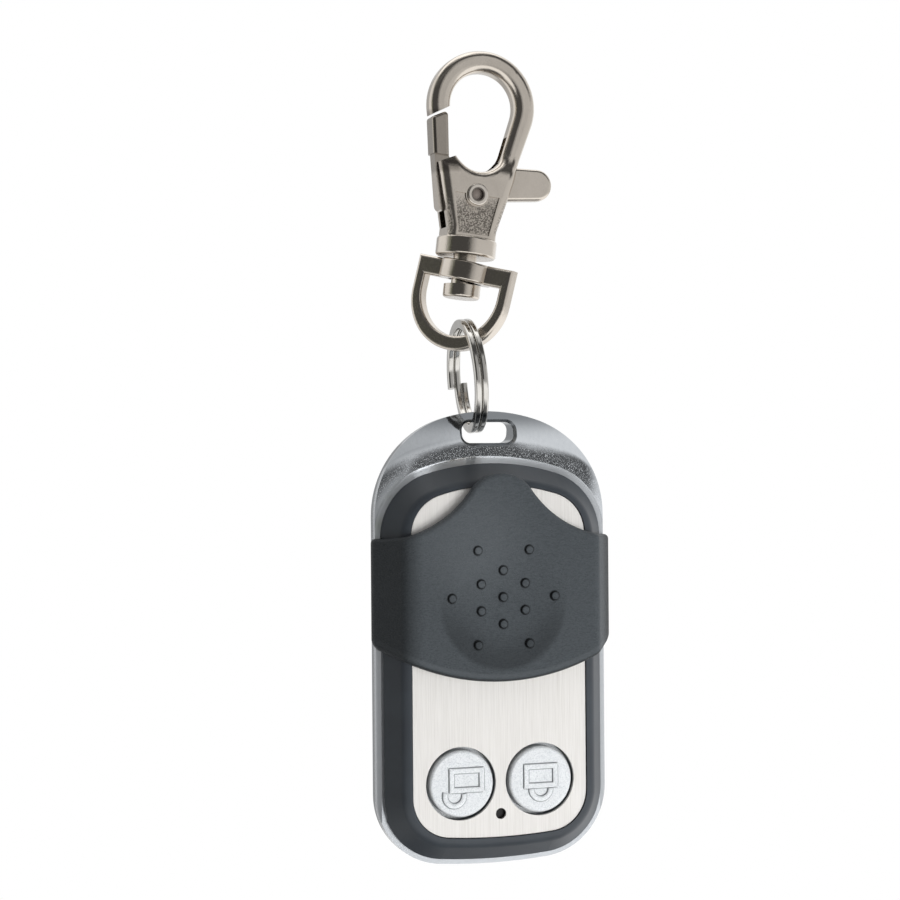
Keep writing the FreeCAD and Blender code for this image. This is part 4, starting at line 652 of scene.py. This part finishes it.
@dataclass(frozen=True)
class WrinkledCharcoal(Finish):
    """The sliding cover's soft charcoal skin, with a leather-like grain that runs across it.

    Attributes:
        body, low, flank, wear_and_sheen, foot: colours of the skin, its creases, the painted shade on
            its
        sides, dish and hem, the painted sheen above the dish and along the hem, and the painted
        shade round the foot of a dome.
        wrinkle: size of a crease.
        roughness, gloss: its roughness at the smoothest, and the strength of its highlights.
        middle: x and z of the middle dome.
        inner, outer, dome: how far the two rings of six domes are from it, and a dome's radius.
        front: y over which the domes begin to show.
        dish, dish_wall, dish_rim, dish_top: z of the thumb dish's middle, distances from it over
        which the painted shade on its wall grows and ends, and heights over it over which it sets in.
        base, arc: z of the cover's lowest point, and radius of its lower edge.
        sheen_spot, sheen_reach: where the painted sheen is brightest, from the dish's middle, and
        how far it reaches.
        left, right: across, over which each side takes its painted shade.
        grain_depth, dome_depth: depth of the grain and of the domes' rounding.
    """

    label: str = "wrinkled_charcoal"
    body: str = "4F5458"
    low: str = "363B3F"
    flank: str = "1B1E20"
    wear_and_sheen: str = "6A6F73"
    foot: str = "0C0D0E"
    wrinkle: float = 0.2
    roughness: float = 0.44
    gloss: float = 0.2
    middle: Span = (-0.286, -67.3123)
    inner: float = 3.4
    outer: float = 6.87
    dome: float = 0.575
    front: Span = (-6.0, -6.3)
    dish: float = -68.1123
    dish_wall: Span = (2.5, 7.6)
    dish_rim: Span = (8.8, 7.9)
    dish_top: Span = (3.0, -5.0)
    base: float = -78.012
    arc: float = 30.0
    sheen_spot: Span = (-4.0, 8.0)
    sheen_reach: Span = (11.0, 1.0)
    left: Span = (-10.2, -13.0)
    right: Span = (13.8, 15.4)
    grain_depth: float = 0.12
    dome_depth: float = 0.15

    def from_dome(self, x: Signal, z: Signal) -> Signal:
        """Distance from the middle of the nearest dome.

        Args:
            x, z: where it is read.

        Returns:
            The distance.
        """
        near = (x - self.middle[0]).hypot(z - self.middle[1])
        for sixth in range(0, 360, 60):
            for reach, angle in ((self.inner, 30 + sixth), (self.outer, sixth)):
                right = reach * math.cos(math.radians(angle))
                up = reach * math.sin(math.radians(angle))
                near = near.smaller((x - (self.middle[0] + right)).hypot(z - (self.middle[1] + up)))
        return near

    def surface(self, graph: Graph) -> dict:
        """Sockets of the shader, as in Finish."""
        x, y, z = graph.axes()
        stir = graph.noise(0.8, 2.0)
        cells = graph.cells((self.wrinkle * 1.9, 1.0, self.wrinkle), "DISTANCE_TO_EDGE", "Distance")
        crease = graph.noise((self.wrinkle * 2.2, self.wrinkle, self.wrinkle * 0.7), 3.0, 0.55, 0.6)
        skin = (Signal(graph, cells) * 1.6).smaller(0.6) * 0.55 + crease * 0.75
        near = self.from_dome(x, z)
        front = y.rise(*self.front)
        round_top = (1 - near * near / (self.dome * self.dome)).larger(0.0) ** 0.5 * front
        # painted shade: a dark ring round the foot of each dome
        foot = near.band(self.dome * 0.78, self.dome * 1.14, 0.16) * front
        across = x - self.middle[0]
        above = z - self.dish
        away = across.hypot(above)
        # painted sheen: a lighter patch left of and above the dish
        painted_sheen = (across - self.sheen_spot[0]).hypot(above - self.sheen_spot[1]).rise(*self.sheen_reach)
        hem = self.arc - across.hypot(z - (self.base + self.arc))
        # painted shade: the dish's lower wall, the two sides and the very edge of the hem
        painted_dish_shade = away.rise(*self.dish_wall) * away.rise(*self.dish_rim) * above.rise(*self.dish_top) * 0.45
        sides = (across.rise(*self.left) * 0.65).larger(across.rise(*self.right) * 0.85)
        shaded = sides.larger(painted_dish_shade).larger(hem.rise(0.45, 0.2) * 0.7)
        tone = graph.blend(crease.rise(0.62, 0.3) * 0.45, self.body, self.low)
        # painted sheen on that patch and on a band along the hem
        tone = graph.blend(painted_sheen * 0.4 + hem.band(0.5, 1.0, 0.3) * 0.3, tone, self.wear_and_sheen)
        # painted shade on the sides, the dish's lower wall and the hem's edge
        tone = graph.blend(shaded, tone, self.flank)
        # painted shade round the domes' feet
        tone = graph.blend(foot * 0.8, tone, self.foot)
        grain = graph.relief(skin, self.grain_depth, 0.9)
        return {"Base Color": tone, "Roughness": stir * 0.1 + self.roughness,
                "Specular IOR Level": self.gloss,
                "Normal": graph.relief(round_top, self.dome_depth, 0.9, grain)}


@dataclass(frozen=True)
class BrushedSteel(Finish):
    """Stainless plate, brushed from top to bottom.

    Attributes:
        bright, dull: colours between the hairlines and on them.
        roughness: roughness between the hairlines.
        metallic: how metallic it is; low, because a brushed plate scatters what it mirrors.
        hair, band, depth: sizes of a hairline and a band of them, and its depth.
    """

    label: str = "brushed_steel"
    bright: str = "F4F2EF"
    dull: str = "DAD7D2"
    roughness: float = 0.34
    metallic: float = 0.35
    hair: Place = (0.035, 0.2, 5.0)
    band: Place = (0.5, 1.0, 40.0)
    depth: float = 0.006

    def surface(self, graph: Graph) -> dict:
        """Sockets of the shader, as in Finish."""
        hair = graph.noise(self.hair, 2.0, 0.6)
        band = graph.noise(self.band, 2.0)
        tone = graph.blend(hair.rise(0.35, 0.75) * 0.6 + band * 0.3, self.bright, self.dull)
        return {"Base Color": tone, "Metallic": self.metallic,
                "Roughness": hair * 0.18 + self.roughness, "Normal": graph.relief(hair, self.depth, 0.5)}


@dataclass(frozen=True)
class SparkleSilver(Finish):
    """Silver lacquer with fine flakes on the button caps.

    Attributes:
        light, dark, foot: colours of the flakes, and of the painted shade at a padlock's foot.
        step, step_share: y over which the painted shade at the foot begins and ends, and its strength.
        flake: size of a flake.
        roughness, metallic: the lacquer's roughness at the smoothest, and how metallic it is.
    """

    label: str = "sparkle_silver"
    light: str = "EFF2F4"
    dark: str = "C9CED2"
    foot: str = "6E7478"
    step: tuple[Span, Span] = ((-5.56, -5.58), (-5.73, -5.65))
    step_share: float = 0.75
    flake: float = 0.06
    roughness: float = 0.3
    metallic: float = 0.3

    def surface(self, graph: Graph) -> dict:
        """Sockets of the shader, as in Finish."""
        flake = graph.axes(graph.cells(self.flake, "F1", "Color"))[0]
        y = graph.axes()[1]
        # painted shade: the lower part of each padlock's walls, next to the cap, is darkened
        raised = y.rise(*self.step[0]) * y.rise(*self.step[1])
        tone = graph.blend(flake.rise(0.45, 1.0), self.light, self.dark)
        # painted shade at the padlocks' feet
        tone = graph.blend(raised * self.step_share, tone, self.foot)
        return {"Base Color": tone, "Metallic": self.metallic,
                "Roughness": flake * 0.16 + self.roughness, "Normal": graph.relief(flake, 0.004, 0.4)}


@dataclass(frozen=True)
class Moulded(Finish):
    """Plain moulded, potted or lacquered small part.

    Attributes:
        body, other: its two colours.
        roughness, metallic: its roughness at the smoothest, and how metallic it is.
        grain: size of its grain.
    """

    label: str = "moulded"
    body: str = "202224"
    other: str = "2E3033"
    roughness: float = 0.4
    metallic: float = 0.0
    grain: float = 0.12

    def surface(self, graph: Graph) -> dict:
        """Sockets of the shader, as in Finish."""
        speck = graph.noise(self.grain, 3.0, 0.6)
        tone = graph.blend(speck.rise(0.3, 0.75), self.body, self.other)
        return {"Base Color": tone, "Metallic": self.metallic,
                "Roughness": speck * 0.15 + self.roughness, "Normal": graph.relief(speck, 0.008, 0.4)}


@dataclass(frozen=True)
class CircuitLacquer(Finish):
    """Green solder mask over copper tracks.

    Attributes:
        field, other, track, shade: colours of the mask between and over the tracks, and of specks.
        pitch: distance of the tracks.
        roughness: roughness at its smoothest.
    """

    label: str = "circuit_lacquer"
    field: str = "1F5B35"
    other: str = "246A3D"
    track: str = "3C8A52"
    shade: str = "12331F"
    pitch: float = 1.1
    roughness: float = 0.25

    def surface(self, graph: Graph) -> dict:
        """Sockets of the shader, as in Finish."""
        grid = graph.add("TexBrick", {"offset": 0.5},
                         {"Vector": graph.place((self.pitch, 1.0, self.pitch), (90, 0, 0)), "Scale": 0.6,
                          "Mortar Size": 0.09, "Color1": self.field, "Color2": self.other,
                          "Mortar": self.track})
        speck = graph.noise(0.2, 2.0)
        tone = graph.blend(speck * 0.25, grid.outputs["Color"], self.shade)
        return {"Base Color": tone, "Roughness": speck * 0.1 + self.roughness,
                "Normal": graph.relief(Signal(graph, grid.outputs["Fac"]), 0.02, 0.4)}


@dataclass(frozen=True)
class PaleFloor(Finish):
    """Pale matt paper that takes the object's shadow and turns pure white further out.

    Attributes:
        light, dark: its two faint shades of grey, as linear levels.
        blot: size of a patch.
        fade: distance over which it turns white.
    """

    label: str = "pale_floor"
    light: float = 0.8
    dark: float = 0.74
    blot: float = 6.0
    fade: Span = (250, 800)

    def shader(self, graph: Graph) -> Socket:
        """The shader's socket, as in Finish."""
        speck = graph.noise(self.blot, 3.0)
        tone = graph.blend(speck * 0.1, (*(self.light,) * 3, 1), (*(self.dark,) * 3, 1))
        matt = graph.add("BsdfDiffuse", None, {"Color": tone})
        glow = graph.add("Emission", None, {"Color": WHITE, "Strength": 1.0})
        x, y, _ = graph.axes()
        share = graph.rays("Is Camera Ray", "Is Glossy Ray") * x.hypot(y).rise(*self.fade)
        return graph.add("MixShader", None,
                         {0: share, 1: matt.outputs[0], 2: glow.outputs[0]}).outputs[0]


@dataclass(frozen=True)
class Patch:
    """A part of the mirrored room.

    Directions are in degrees: around goes from the front, 0, to the right, 90; height goes from
    level, 0, to straight up, 90. A level is a brightness, and 1 is white.

    Attributes:
        around: where it starts and ends, or where its edge begins and is full.
        height: the same upwards.
        level: how bright the patch is, or how much brighter it makes the wall.
    """

    around: Span = (-180, 180)
    height: Span = (-90, 90)
    level: float = 1.0


@dataclass(frozen=True)
class RoomWalls(Finish):
    """The room that only shiny parts mirror: bright paper below and behind, a dim room in front.

    Attributes:
        radius: the room's radius, in metres.
        wall: level of the left wall.
        right, far: where the right wall begins and where it ends, both brighter.
        side_left, side_right: papers behind, to either side.
        sheet, sky: a bright sheet behind and above, and the lamp straight above.
        person, ceiling, beam, dark: the dark things in front and above, and their level.
        paper, paper_middle: the table's white paper in front and below, around its middle.
        ground: the darker ground right below; its level is the share that it takes off.
        garden, garden_tint: green streaks in a window on the left.
        streak, streak_lean: size of a streak, and its turn.
    """

    label: str = "room_walls"
    radius: float = 1.5
    wall: float = 0.56
    right: Patch = Patch((13, 23), level=0.22)
    far: Patch = Patch((35, 75), level=0.04)
    side_left: Patch = Patch((-152, -100), level=0.5)
    side_right: Patch = Patch((108, 152), level=0.3)
    sheet: Patch = Patch((85, 105), (40, 52), 1.7)
    sky: Patch = Patch(height=(72, 84), level=2.2)
    person: Patch = Patch((-84, 2), (-36, 40))
    ceiling: Patch = Patch((95, 70), (38, 64))
    beam: Patch = Patch((34, 72), (16, 60))
    dark: float = 0.09
    paper: Patch = Patch((105, 85), (-52, -17), 1.35)
    paper_middle: float = 40
    ground: Patch = Patch(height=(-54, -64), level=0.8)
    garden: Patch = Patch((-98, -72), (60, 48))
    garden_tint: Place = (0.42, 0.47, 0.24)
    streak: Place = (90, 90, 700)
    streak_lean: Place = (0, 20, 0)

    def level(self, around: Signal, height: Signal) -> Signal:
        """Brightness of the room in one direction.

        Args:
            around, height: the direction.

        Returns:
            The level.
        """
        level = self.wall + around.rise(*self.right.around) * self.right.level
        level = level + around.rise(*self.far.around) * self.far.level
        for side in (self.side_left, self.side_right):
            level = level + around.band(*side.around, 12) * side.level
        sheet = abs(around).rise(*self.sheet.around) * height.rise(*self.sheet.height)
        level = level.larger(sheet * self.sheet.level)
        level = level.larger(height.rise(*self.sky.height) * self.sky.level)
        person = around.band(*self.person.around, 14) * height.band(*self.person.height, 14)
        ceiling = abs(around).rise(*self.ceiling.around) * height.band(*self.ceiling.height, 10)
        beam = around.band(*self.beam.around, 12) * height.band(*self.beam.height, 10)
        dark = person.larger(ceiling).larger(beam)
        level = level * (1 - dark) + dark * self.dark
        beside = abs(around - self.paper_middle)
        paper = height.band(*self.paper.height, 8) * beside.rise(*self.paper.around)
        level = level * (1 - paper) + paper * self.paper.level
        return level * (1 - height.rise(*self.ground.height) * self.ground.level)

    def shader(self, graph: Graph) -> Socket:
        """The shader's socket, as in Finish."""
        x, y, z = graph.axes(graph.place(self.radius / MM))
        around = x.maths("ARCTAN2", x, y * -1) * DEGREE
        height = z.maths("ARCSINE", z) * DEGREE
        streak = graph.noise(self.streak, 3.0, 0.6, 0.4, self.streak_lean)
        window = around.band(*self.garden.around, 8) * height.rise(*self.garden.height)
        tint = graph.blend(window * streak.rise(0.5, 0.6), WHITE, (*self.garden_tint, 1))
        return graph.add("Emission", None,
                         {"Color": tint, "Strength": self.level(around, height)}).outputs[0]


NICKEL = CastNickel()
STEEL = PlatedSteel()
SWAGED = SwagedSteel()
CHROME = SatinChrome()
BLACK = SatinBlack()
CHARCOAL = WrinkledCharcoal()
BRUSHED = BrushedSteel()
SILVER = SparkleSilver()
SWITCH = Moulded("switch_black")
FILM = Moulded("film_grey", "6E7276", "7C8084", 0.5)
LAMP = Moulded("smoked_lamp", "0E0C0D", "151214", 0.3, 0.0, 0.5)
COPPER = Moulded("lacquered_copper", "B86A34", "C98246", 0.22, 1.0, 0.3)
CERAMIC = Moulded("fired_ceramic", "B99A6E", "C9AD84", 0.5)
BOARD = CircuitLacquer()
FLOOR = PaleFloor()
WALLS = RoomWalls()


@dataclass(frozen=True)
class Plan:
    """Flat outline of a padlock, measured from its cap's middle.

    Attributes:
        body: left, right, lower and upper side of its body.
        centre, radius: centre and outer radius of its shackle.
        start, sweep: where the shackle starts, from the right, and how far it goes; both are
            counter-clockwise.
    """

    body: tuple[float, float, float, float]
    centre: Span
    radius: float
    start: float
    sweep: float


class Padlock(Enum):
    """Which padlock a cap carries."""

    OPEN = Plan((-1.7, 2.95, -1.1, 2.0), (-1.0, -1.45), 1.6, 10, -210)
    CLOSED = Plan((-2.3, 2.3, -1.1, 2.0), (0, -1.15), 1.65, 180, 180)


def dress(names: list[str], finish: Finish) -> None:
    """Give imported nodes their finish.

    Args:
        names: the nodes.
        finish: what they are covered with.
    """
    for name in names:
        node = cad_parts[name]
        node.data.materials.clear()
        node.data.materials.append(finish.material())
        log.info("%s: %s", name, finish.label)


def stand(name: str, form: Form, finish: Finish) -> bpy.types.Object:
    """Turn a finished form into an object of the scene.

    Args:
        name: its name.
        form: its mesh, in metres; it is freed here.
        finish: what covers it.

    Returns:
        The object.
    """
    mesh = bpy.data.meshes.new(name)
    form.to_mesh(mesh)
    form.free()
    mesh.materials.append(finish.material())
    made = bpy.data.objects.new(name, mesh)
    bpy.context.scene.collection.objects.link(made)
    return made


def piece(name: str, form: Form, finish: Finish, body: str) -> None:
    """Turn a finished form into a piece of the object.

    Args:
        name: the piece's name.
        form: its mesh, in its place, in metres; it is freed here.
        finish: what covers it.
        body: the body that it rides on.
    """
    made = stand(name, form, finish)
    made.data.shade_smooth()
    made.data.set_sharp_from_angle(angle=math.radians(SHARP))
    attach(made, body)
    log.info("%s: %d faces on %s", name, len(made.data.polygons), body)


def thicken(form: Form, height: float, edge: float) -> None:
    """Raise a flat form along Z into a closed solid and round the rim of its top.

    Args:
        form: the flat form.
        height: how far it is raised, in the form's own unit.
        edge: how much the rim is rounded, in the same unit; 0 leaves it sharp.
    """
    bmesh.ops.recalc_face_normals(form, faces=form.faces)
    grown = bmesh.ops.extrude_face_region(form, geom=form.faces[:])
    top = [v for v in grown["geom"] if isinstance(v, bmesh.types.BMVert)]
    bmesh.ops.translate(form, vec=(0, 0, height), verts=top)
    rims = [e for e in form.edges if all(v in top for v in e.verts) and len(e.link_faces) == 2
            and abs(e.link_faces[0].normal.z - e.link_faces[1].normal.z) > 0.5]
    bmesh.ops.recalc_face_normals(form, faces=form.faces)
    if edge:
        bmesh.ops.bevel(form, geom=rims, offset=edge, affect="EDGES", segments=2, profile=0.5,
                        material=-1)


@dataclass
class Clasp:
    """The snap hook with its gate, rivet and spring.

    Attributes:
        radius, length, edge: size of the end of the pin in the rivet's bore, and its rounding.
        sunk: how far its back lies behind the rivet's front.
        sides: how many sides its round has.
    """

    radius: float = 0.8
    length: float = 0.6
    edge: float = 0.06
    sunk: float = 1.15
    sides: int = 48

    def core(self) -> None:
        """Fill the rivet's bore with the flat end of the pin that it was swaged over."""
        form = bmesh.new()
        bmesh.ops.create_circle(form, cap_ends=True, radius=self.radius * MM, segments=self.sides)
        thicken(form, self.length * MM, self.edge * MM)
        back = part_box("gate_rivet")[0].y + self.sunk * MM
        middle = Vector((SWAGED.middle[0] * MM, back, SWAGED.middle[1] * MM))
        bmesh.ops.transform(form, matrix=Matrix.Translation(middle) @ FACING, verts=form.verts)
        piece("rivet_core", form, SWAGED, "hook")

    def build(self) -> None:
        """Close the rivet and dress the clasp's nodes and the ring."""
        self.core()
        dress(["clasp_hook", "clasp_gate", "swivel_loop"], NICKEL)
        dress(["gate_rivet"], SWAGED)
        dress(["gate_spring", "split_ring"], STEEL)


@dataclass
class FobCase:
    """Frame, shells, plate and everything inside."""

    def build(self) -> None:
        """Dress the case's nodes."""
        dress(["bezel_frame"], CHROME)
        dress(["front_shell", "back_cover"], BLACK)
        dress(["face_plate"], BRUSHED)
        dress(["plate_adhesive"], FILM)
        dress(["case_screws", "coin_cell", "cell_clip", "cell_contact"], STEEL)
        dress(["circuit_board"], BOARD)
        dress(["switch_bodies", "encoder_chip"], SWITCH)
        dress(["indicator_lamp"], LAMP)
        dress(["antenna_coil"], COPPER)
        dress(["board_passives", "saw_resonator"], CERAMIC)


@dataclass
class Slider:
    """The sliding cover."""

    def build(self) -> None:
        """Dress the cover."""
        dress(["slider_cover"], CHARCOAL)


@dataclass
class Buttons:
    """Four caps with raised padlocks, and their plungers.

    Attributes:
        relief: how far a padlock stands off its cap.
        line, edge: width of its lines and their rounding.
        corner: how much its body's corners are cut.
        foot, foot_rise: how far the step at its foot stands out and how high it is.
        sunk: how far both reach into the cap.
        facet: how far one side of the shackle turns.
    """

    relief: float = 0.22
    line: float = 0.66
    corner: float = 0.3
    edge: float = 0.1
    foot: float = 0.1
    foot_rise: float = 0.03
    sunk: float = 0.05
    facet: float = 12.0

    def frame_of(self, plan: Plan, grow: float) -> Form:
        """A flat rounded frame, the body of a padlock, in the plane of the cap.

        Args:
            plan: the padlock's outline.
            grow: how much wider its line is on each side.

        Returns:
            The flat frame.
        """
        left, right, low, high = plan.body
        form = bmesh.new()
        bmesh.ops.create_grid(form, x_segments=1, y_segments=1, size=0.5)
        bmesh.ops.scale(form, vec=(right - left + 2 * grow, high - low + 2 * grow, 1), verts=form.verts)
        bmesh.ops.translate(form, vec=((left + right) / 2, (low + high) / 2, 0), verts=form.verts)
        corners = form.verts[:]
        inner = bmesh.ops.inset_region(form, faces=form.faces[:], thickness=self.line + 2 * grow,
                                       use_boundary=True, use_even_offset=True)
        rim = set(inner["faces"])
        bmesh.ops.delete(form, geom=[f for f in form.faces if f not in rim], context="FACES")
        bmesh.ops.bevel(form, geom=corners, offset=self.corner, affect="VERTICES", segments=3,
                        profile=0.5, material=-1)
        return form

    def arc_of(self, plan: Plan, grow: float) -> Form:
        """A flat curved band, the shackle of a padlock.

        Args:
            plan: the padlock's outline.
            grow: how much wider it is on each side.

        Returns:
            The flat band.
        """
        form = bmesh.new()
        inner = form.verts.new((plan.radius - self.line - grow, 0, 0))
        outer = form.verts.new((plan.radius + grow, 0, 0))
        form.edges.new((inner, outer))
        bmesh.ops.rotate(form, verts=form.verts, cent=(0, 0, 0),
                         matrix=Matrix.Rotation(math.radians(plan.start), 3, "Z"))
        bmesh.ops.spin(form, geom=form.verts[:] + form.edges[:], cent=(0, 0, 0), axis=(0, 0, 1),
                       angle=math.radians(plan.sweep), steps=int(abs(plan.sweep) / self.facet))
        bmesh.ops.translate(form, vec=(*plan.centre, 0), verts=form.verts)
        return form

    def raise_and_place(self, kind: Padlock, middle: Vector) -> Form:
        """Give a padlock and the step at its foot their thickness and stand them on a cap.

        Args:
            kind: open or closed.
            middle: middle of the cap's front, in metres.

        Returns:
            The relief, in metres.
        """
        whole = bmesh.new()
        for grow, height, edge in ((0.0, self.relief, self.edge), (self.foot, self.foot_rise, 0.0)):
            for form in (self.frame_of(kind.value, grow), self.arc_of(kind.value, grow)):
                thicken(form, height + self.sunk, edge)
                part = bpy.data.meshes.new("padlock_part")
                form.to_mesh(part)
                form.free()
                whole.from_mesh(part)
                bpy.data.meshes.remove(part)
        back = middle + Vector((0, self.sunk * MM, 0))
        upright = Matrix.Translation(back) @ FACING @ Matrix.Scale(MM, 4)
        bmesh.ops.transform(whole, matrix=upright, verts=whole.verts)
        return whole

    def build(self) -> None:
        """Dress the caps and plungers and make the padlocks."""
        for row in ("lower", "upper"):
            for side, kind in (("left", Padlock.OPEN), ("right", Padlock.CLOSED)):
                cap = f"button_{row}_{side}"
                dress([cap], SILVER)
                dress([f"plunger_{row}_{side}"], SWITCH)
                low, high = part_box(cap)
                middle = Vector(((low.x + high.x) / 2, low.y, (low.z + high.z) / 2))
                relief = self.raise_and_place(kind, middle)
                piece(f"padlock_{row}_{side}", relief, SILVER, f"cap_{row}_{side}")


@dataclass
class Studio:
    """Camera, lights, floor and what the metal mirrors.

    Attributes:
        eye: where the camera stands, in metres.
        heading: where it looks.
        roll: how upright things lean in the picture.
        lens, sensor: its focal length and its film's width.
        near: what is closer than this isn't drawn, in metres.
        fill: share of the world's light that lights matt surfaces.
        floor, floor_half: height of the floor and half its side, in metres.
        aim: what the lamps face, in metres.
    """

    eye: Place = (-0.084871, -0.245804, -0.04868)
    heading: Place = (0.309017, 0.951057, 0.0)
    roll: float = 0.45
    lens: float = 80.25
    sensor: float = 36.0
    near: float = 0.01
    fill: float = 0.28
    floor: float = -0.45
    floor_half: float = 12.0
    aim: Place = (0.0, 0.0, -0.06)

    def camera(self) -> None:
        """Set the camera up at the photograph's angle."""
        ahead = Vector(self.heading).normalized()
        above = Vector((0, 0, 1))
        side = ahead.cross(above)
        turn = math.radians(self.roll)
        right = side * math.cos(turn) - above * math.sin(turn)
        up = above * math.cos(turn) + side * math.sin(turn)
        data = bpy.data.cameras.new("camera")
        data.lens = self.lens
        data.sensor_width = self.sensor
        data.clip_start = self.near
        seen = bpy.data.objects.new("camera", data)
        basis = Matrix((right, up, -ahead)).transposed().to_4x4()
        seen.matrix_world = Matrix.Translation(Vector(self.eye)) @ basis
        bpy.context.scene.collection.objects.link(seen)
        bpy.context.scene.camera = seen

    def world(self) -> None:
        """White for the camera and for mirrors, plain soft light for everything else."""
        world = bpy.data.worlds.new("studio")
        bpy.context.scene.world = world
        graph = Graph(world)
        white = graph.rays("Is Camera Ray", "Is Glossy Ray", "Is Transmission Ray")
        light = graph.add("Background", None,
                          {"Color": WHITE, "Strength": white * (1 - self.fill) + self.fill})
        graph.add("OutputWorld", None, {"Surface": light.outputs[0]})

    def ground(self) -> None:
        """A pale floor that runs out of sight and keeps the object's shadow."""
        form = bmesh.new()
        bmesh.ops.create_grid(form, x_segments=1, y_segments=1, size=self.floor_half)
        bmesh.ops.translate(form, vec=(0, 0, self.floor), verts=form.verts)
        floor = stand("floor", form, FLOOR)
        floor.visible_glossy = False

    def surround(self) -> None:
        """The room around everything, which only mirrors see."""
        form = bmesh.new()
        bmesh.ops.create_icosphere(form, subdivisions=5, radius=WALLS.radius)
        bmesh.ops.reverse_faces(form, faces=form.faces)
        room = stand("room", form, WALLS)
        for kind in ("camera", "diffuse", "shadow", "transmission", "volume_scatter"):
            setattr(room, f"visible_{kind}", False)

    def lamp(self, name: str, place: Place, size: float, power: float) -> None:
        """Hang one soft square lamp that faces the fob.

        Args:
            name: what it is called.
            place: where it hangs, in metres.
            size: its side, in metres.
            power: in watts.
        """
        data = bpy.data.lights.new(name, "AREA")
        data.size = size
        data.energy = power
        light = bpy.data.objects.new(name, data)
        light.visible_camera = False
        light.visible_glossy = False
        facing = (Vector(self.aim) - Vector(place)).to_track_quat("-Z", "Y")
        light.matrix_world = Matrix.Translation(Vector(place)) @ facing.to_matrix().to_4x4()
        bpy.context.scene.collection.objects.link(light)

    def build(self) -> None:
        """Set the whole studio up."""
        bpy.context.scene.view_settings.view_transform = "Standard"
        self.camera()
        self.world()
        self.ground()
        self.surround()
        self.lamp("front_low", (0.3, -0.58, -0.25), 0.4, 3.3)
        self.lamp("top", (0.1, -0.35, 0.6), 0.4, 0.8)
        log.info("studio: camera, world, floor, room and two lamps")


def main() -> None:
    """Build every sub-assembly in order, then the studio."""
    logging.basicConfig(level=logging.INFO, format="%(name)s: %(message)s")
    for part in (Clasp(), FobCase(), Slider(), Buttons(), Studio()):
        part.build()


if __name__ == "__main__":
    main()
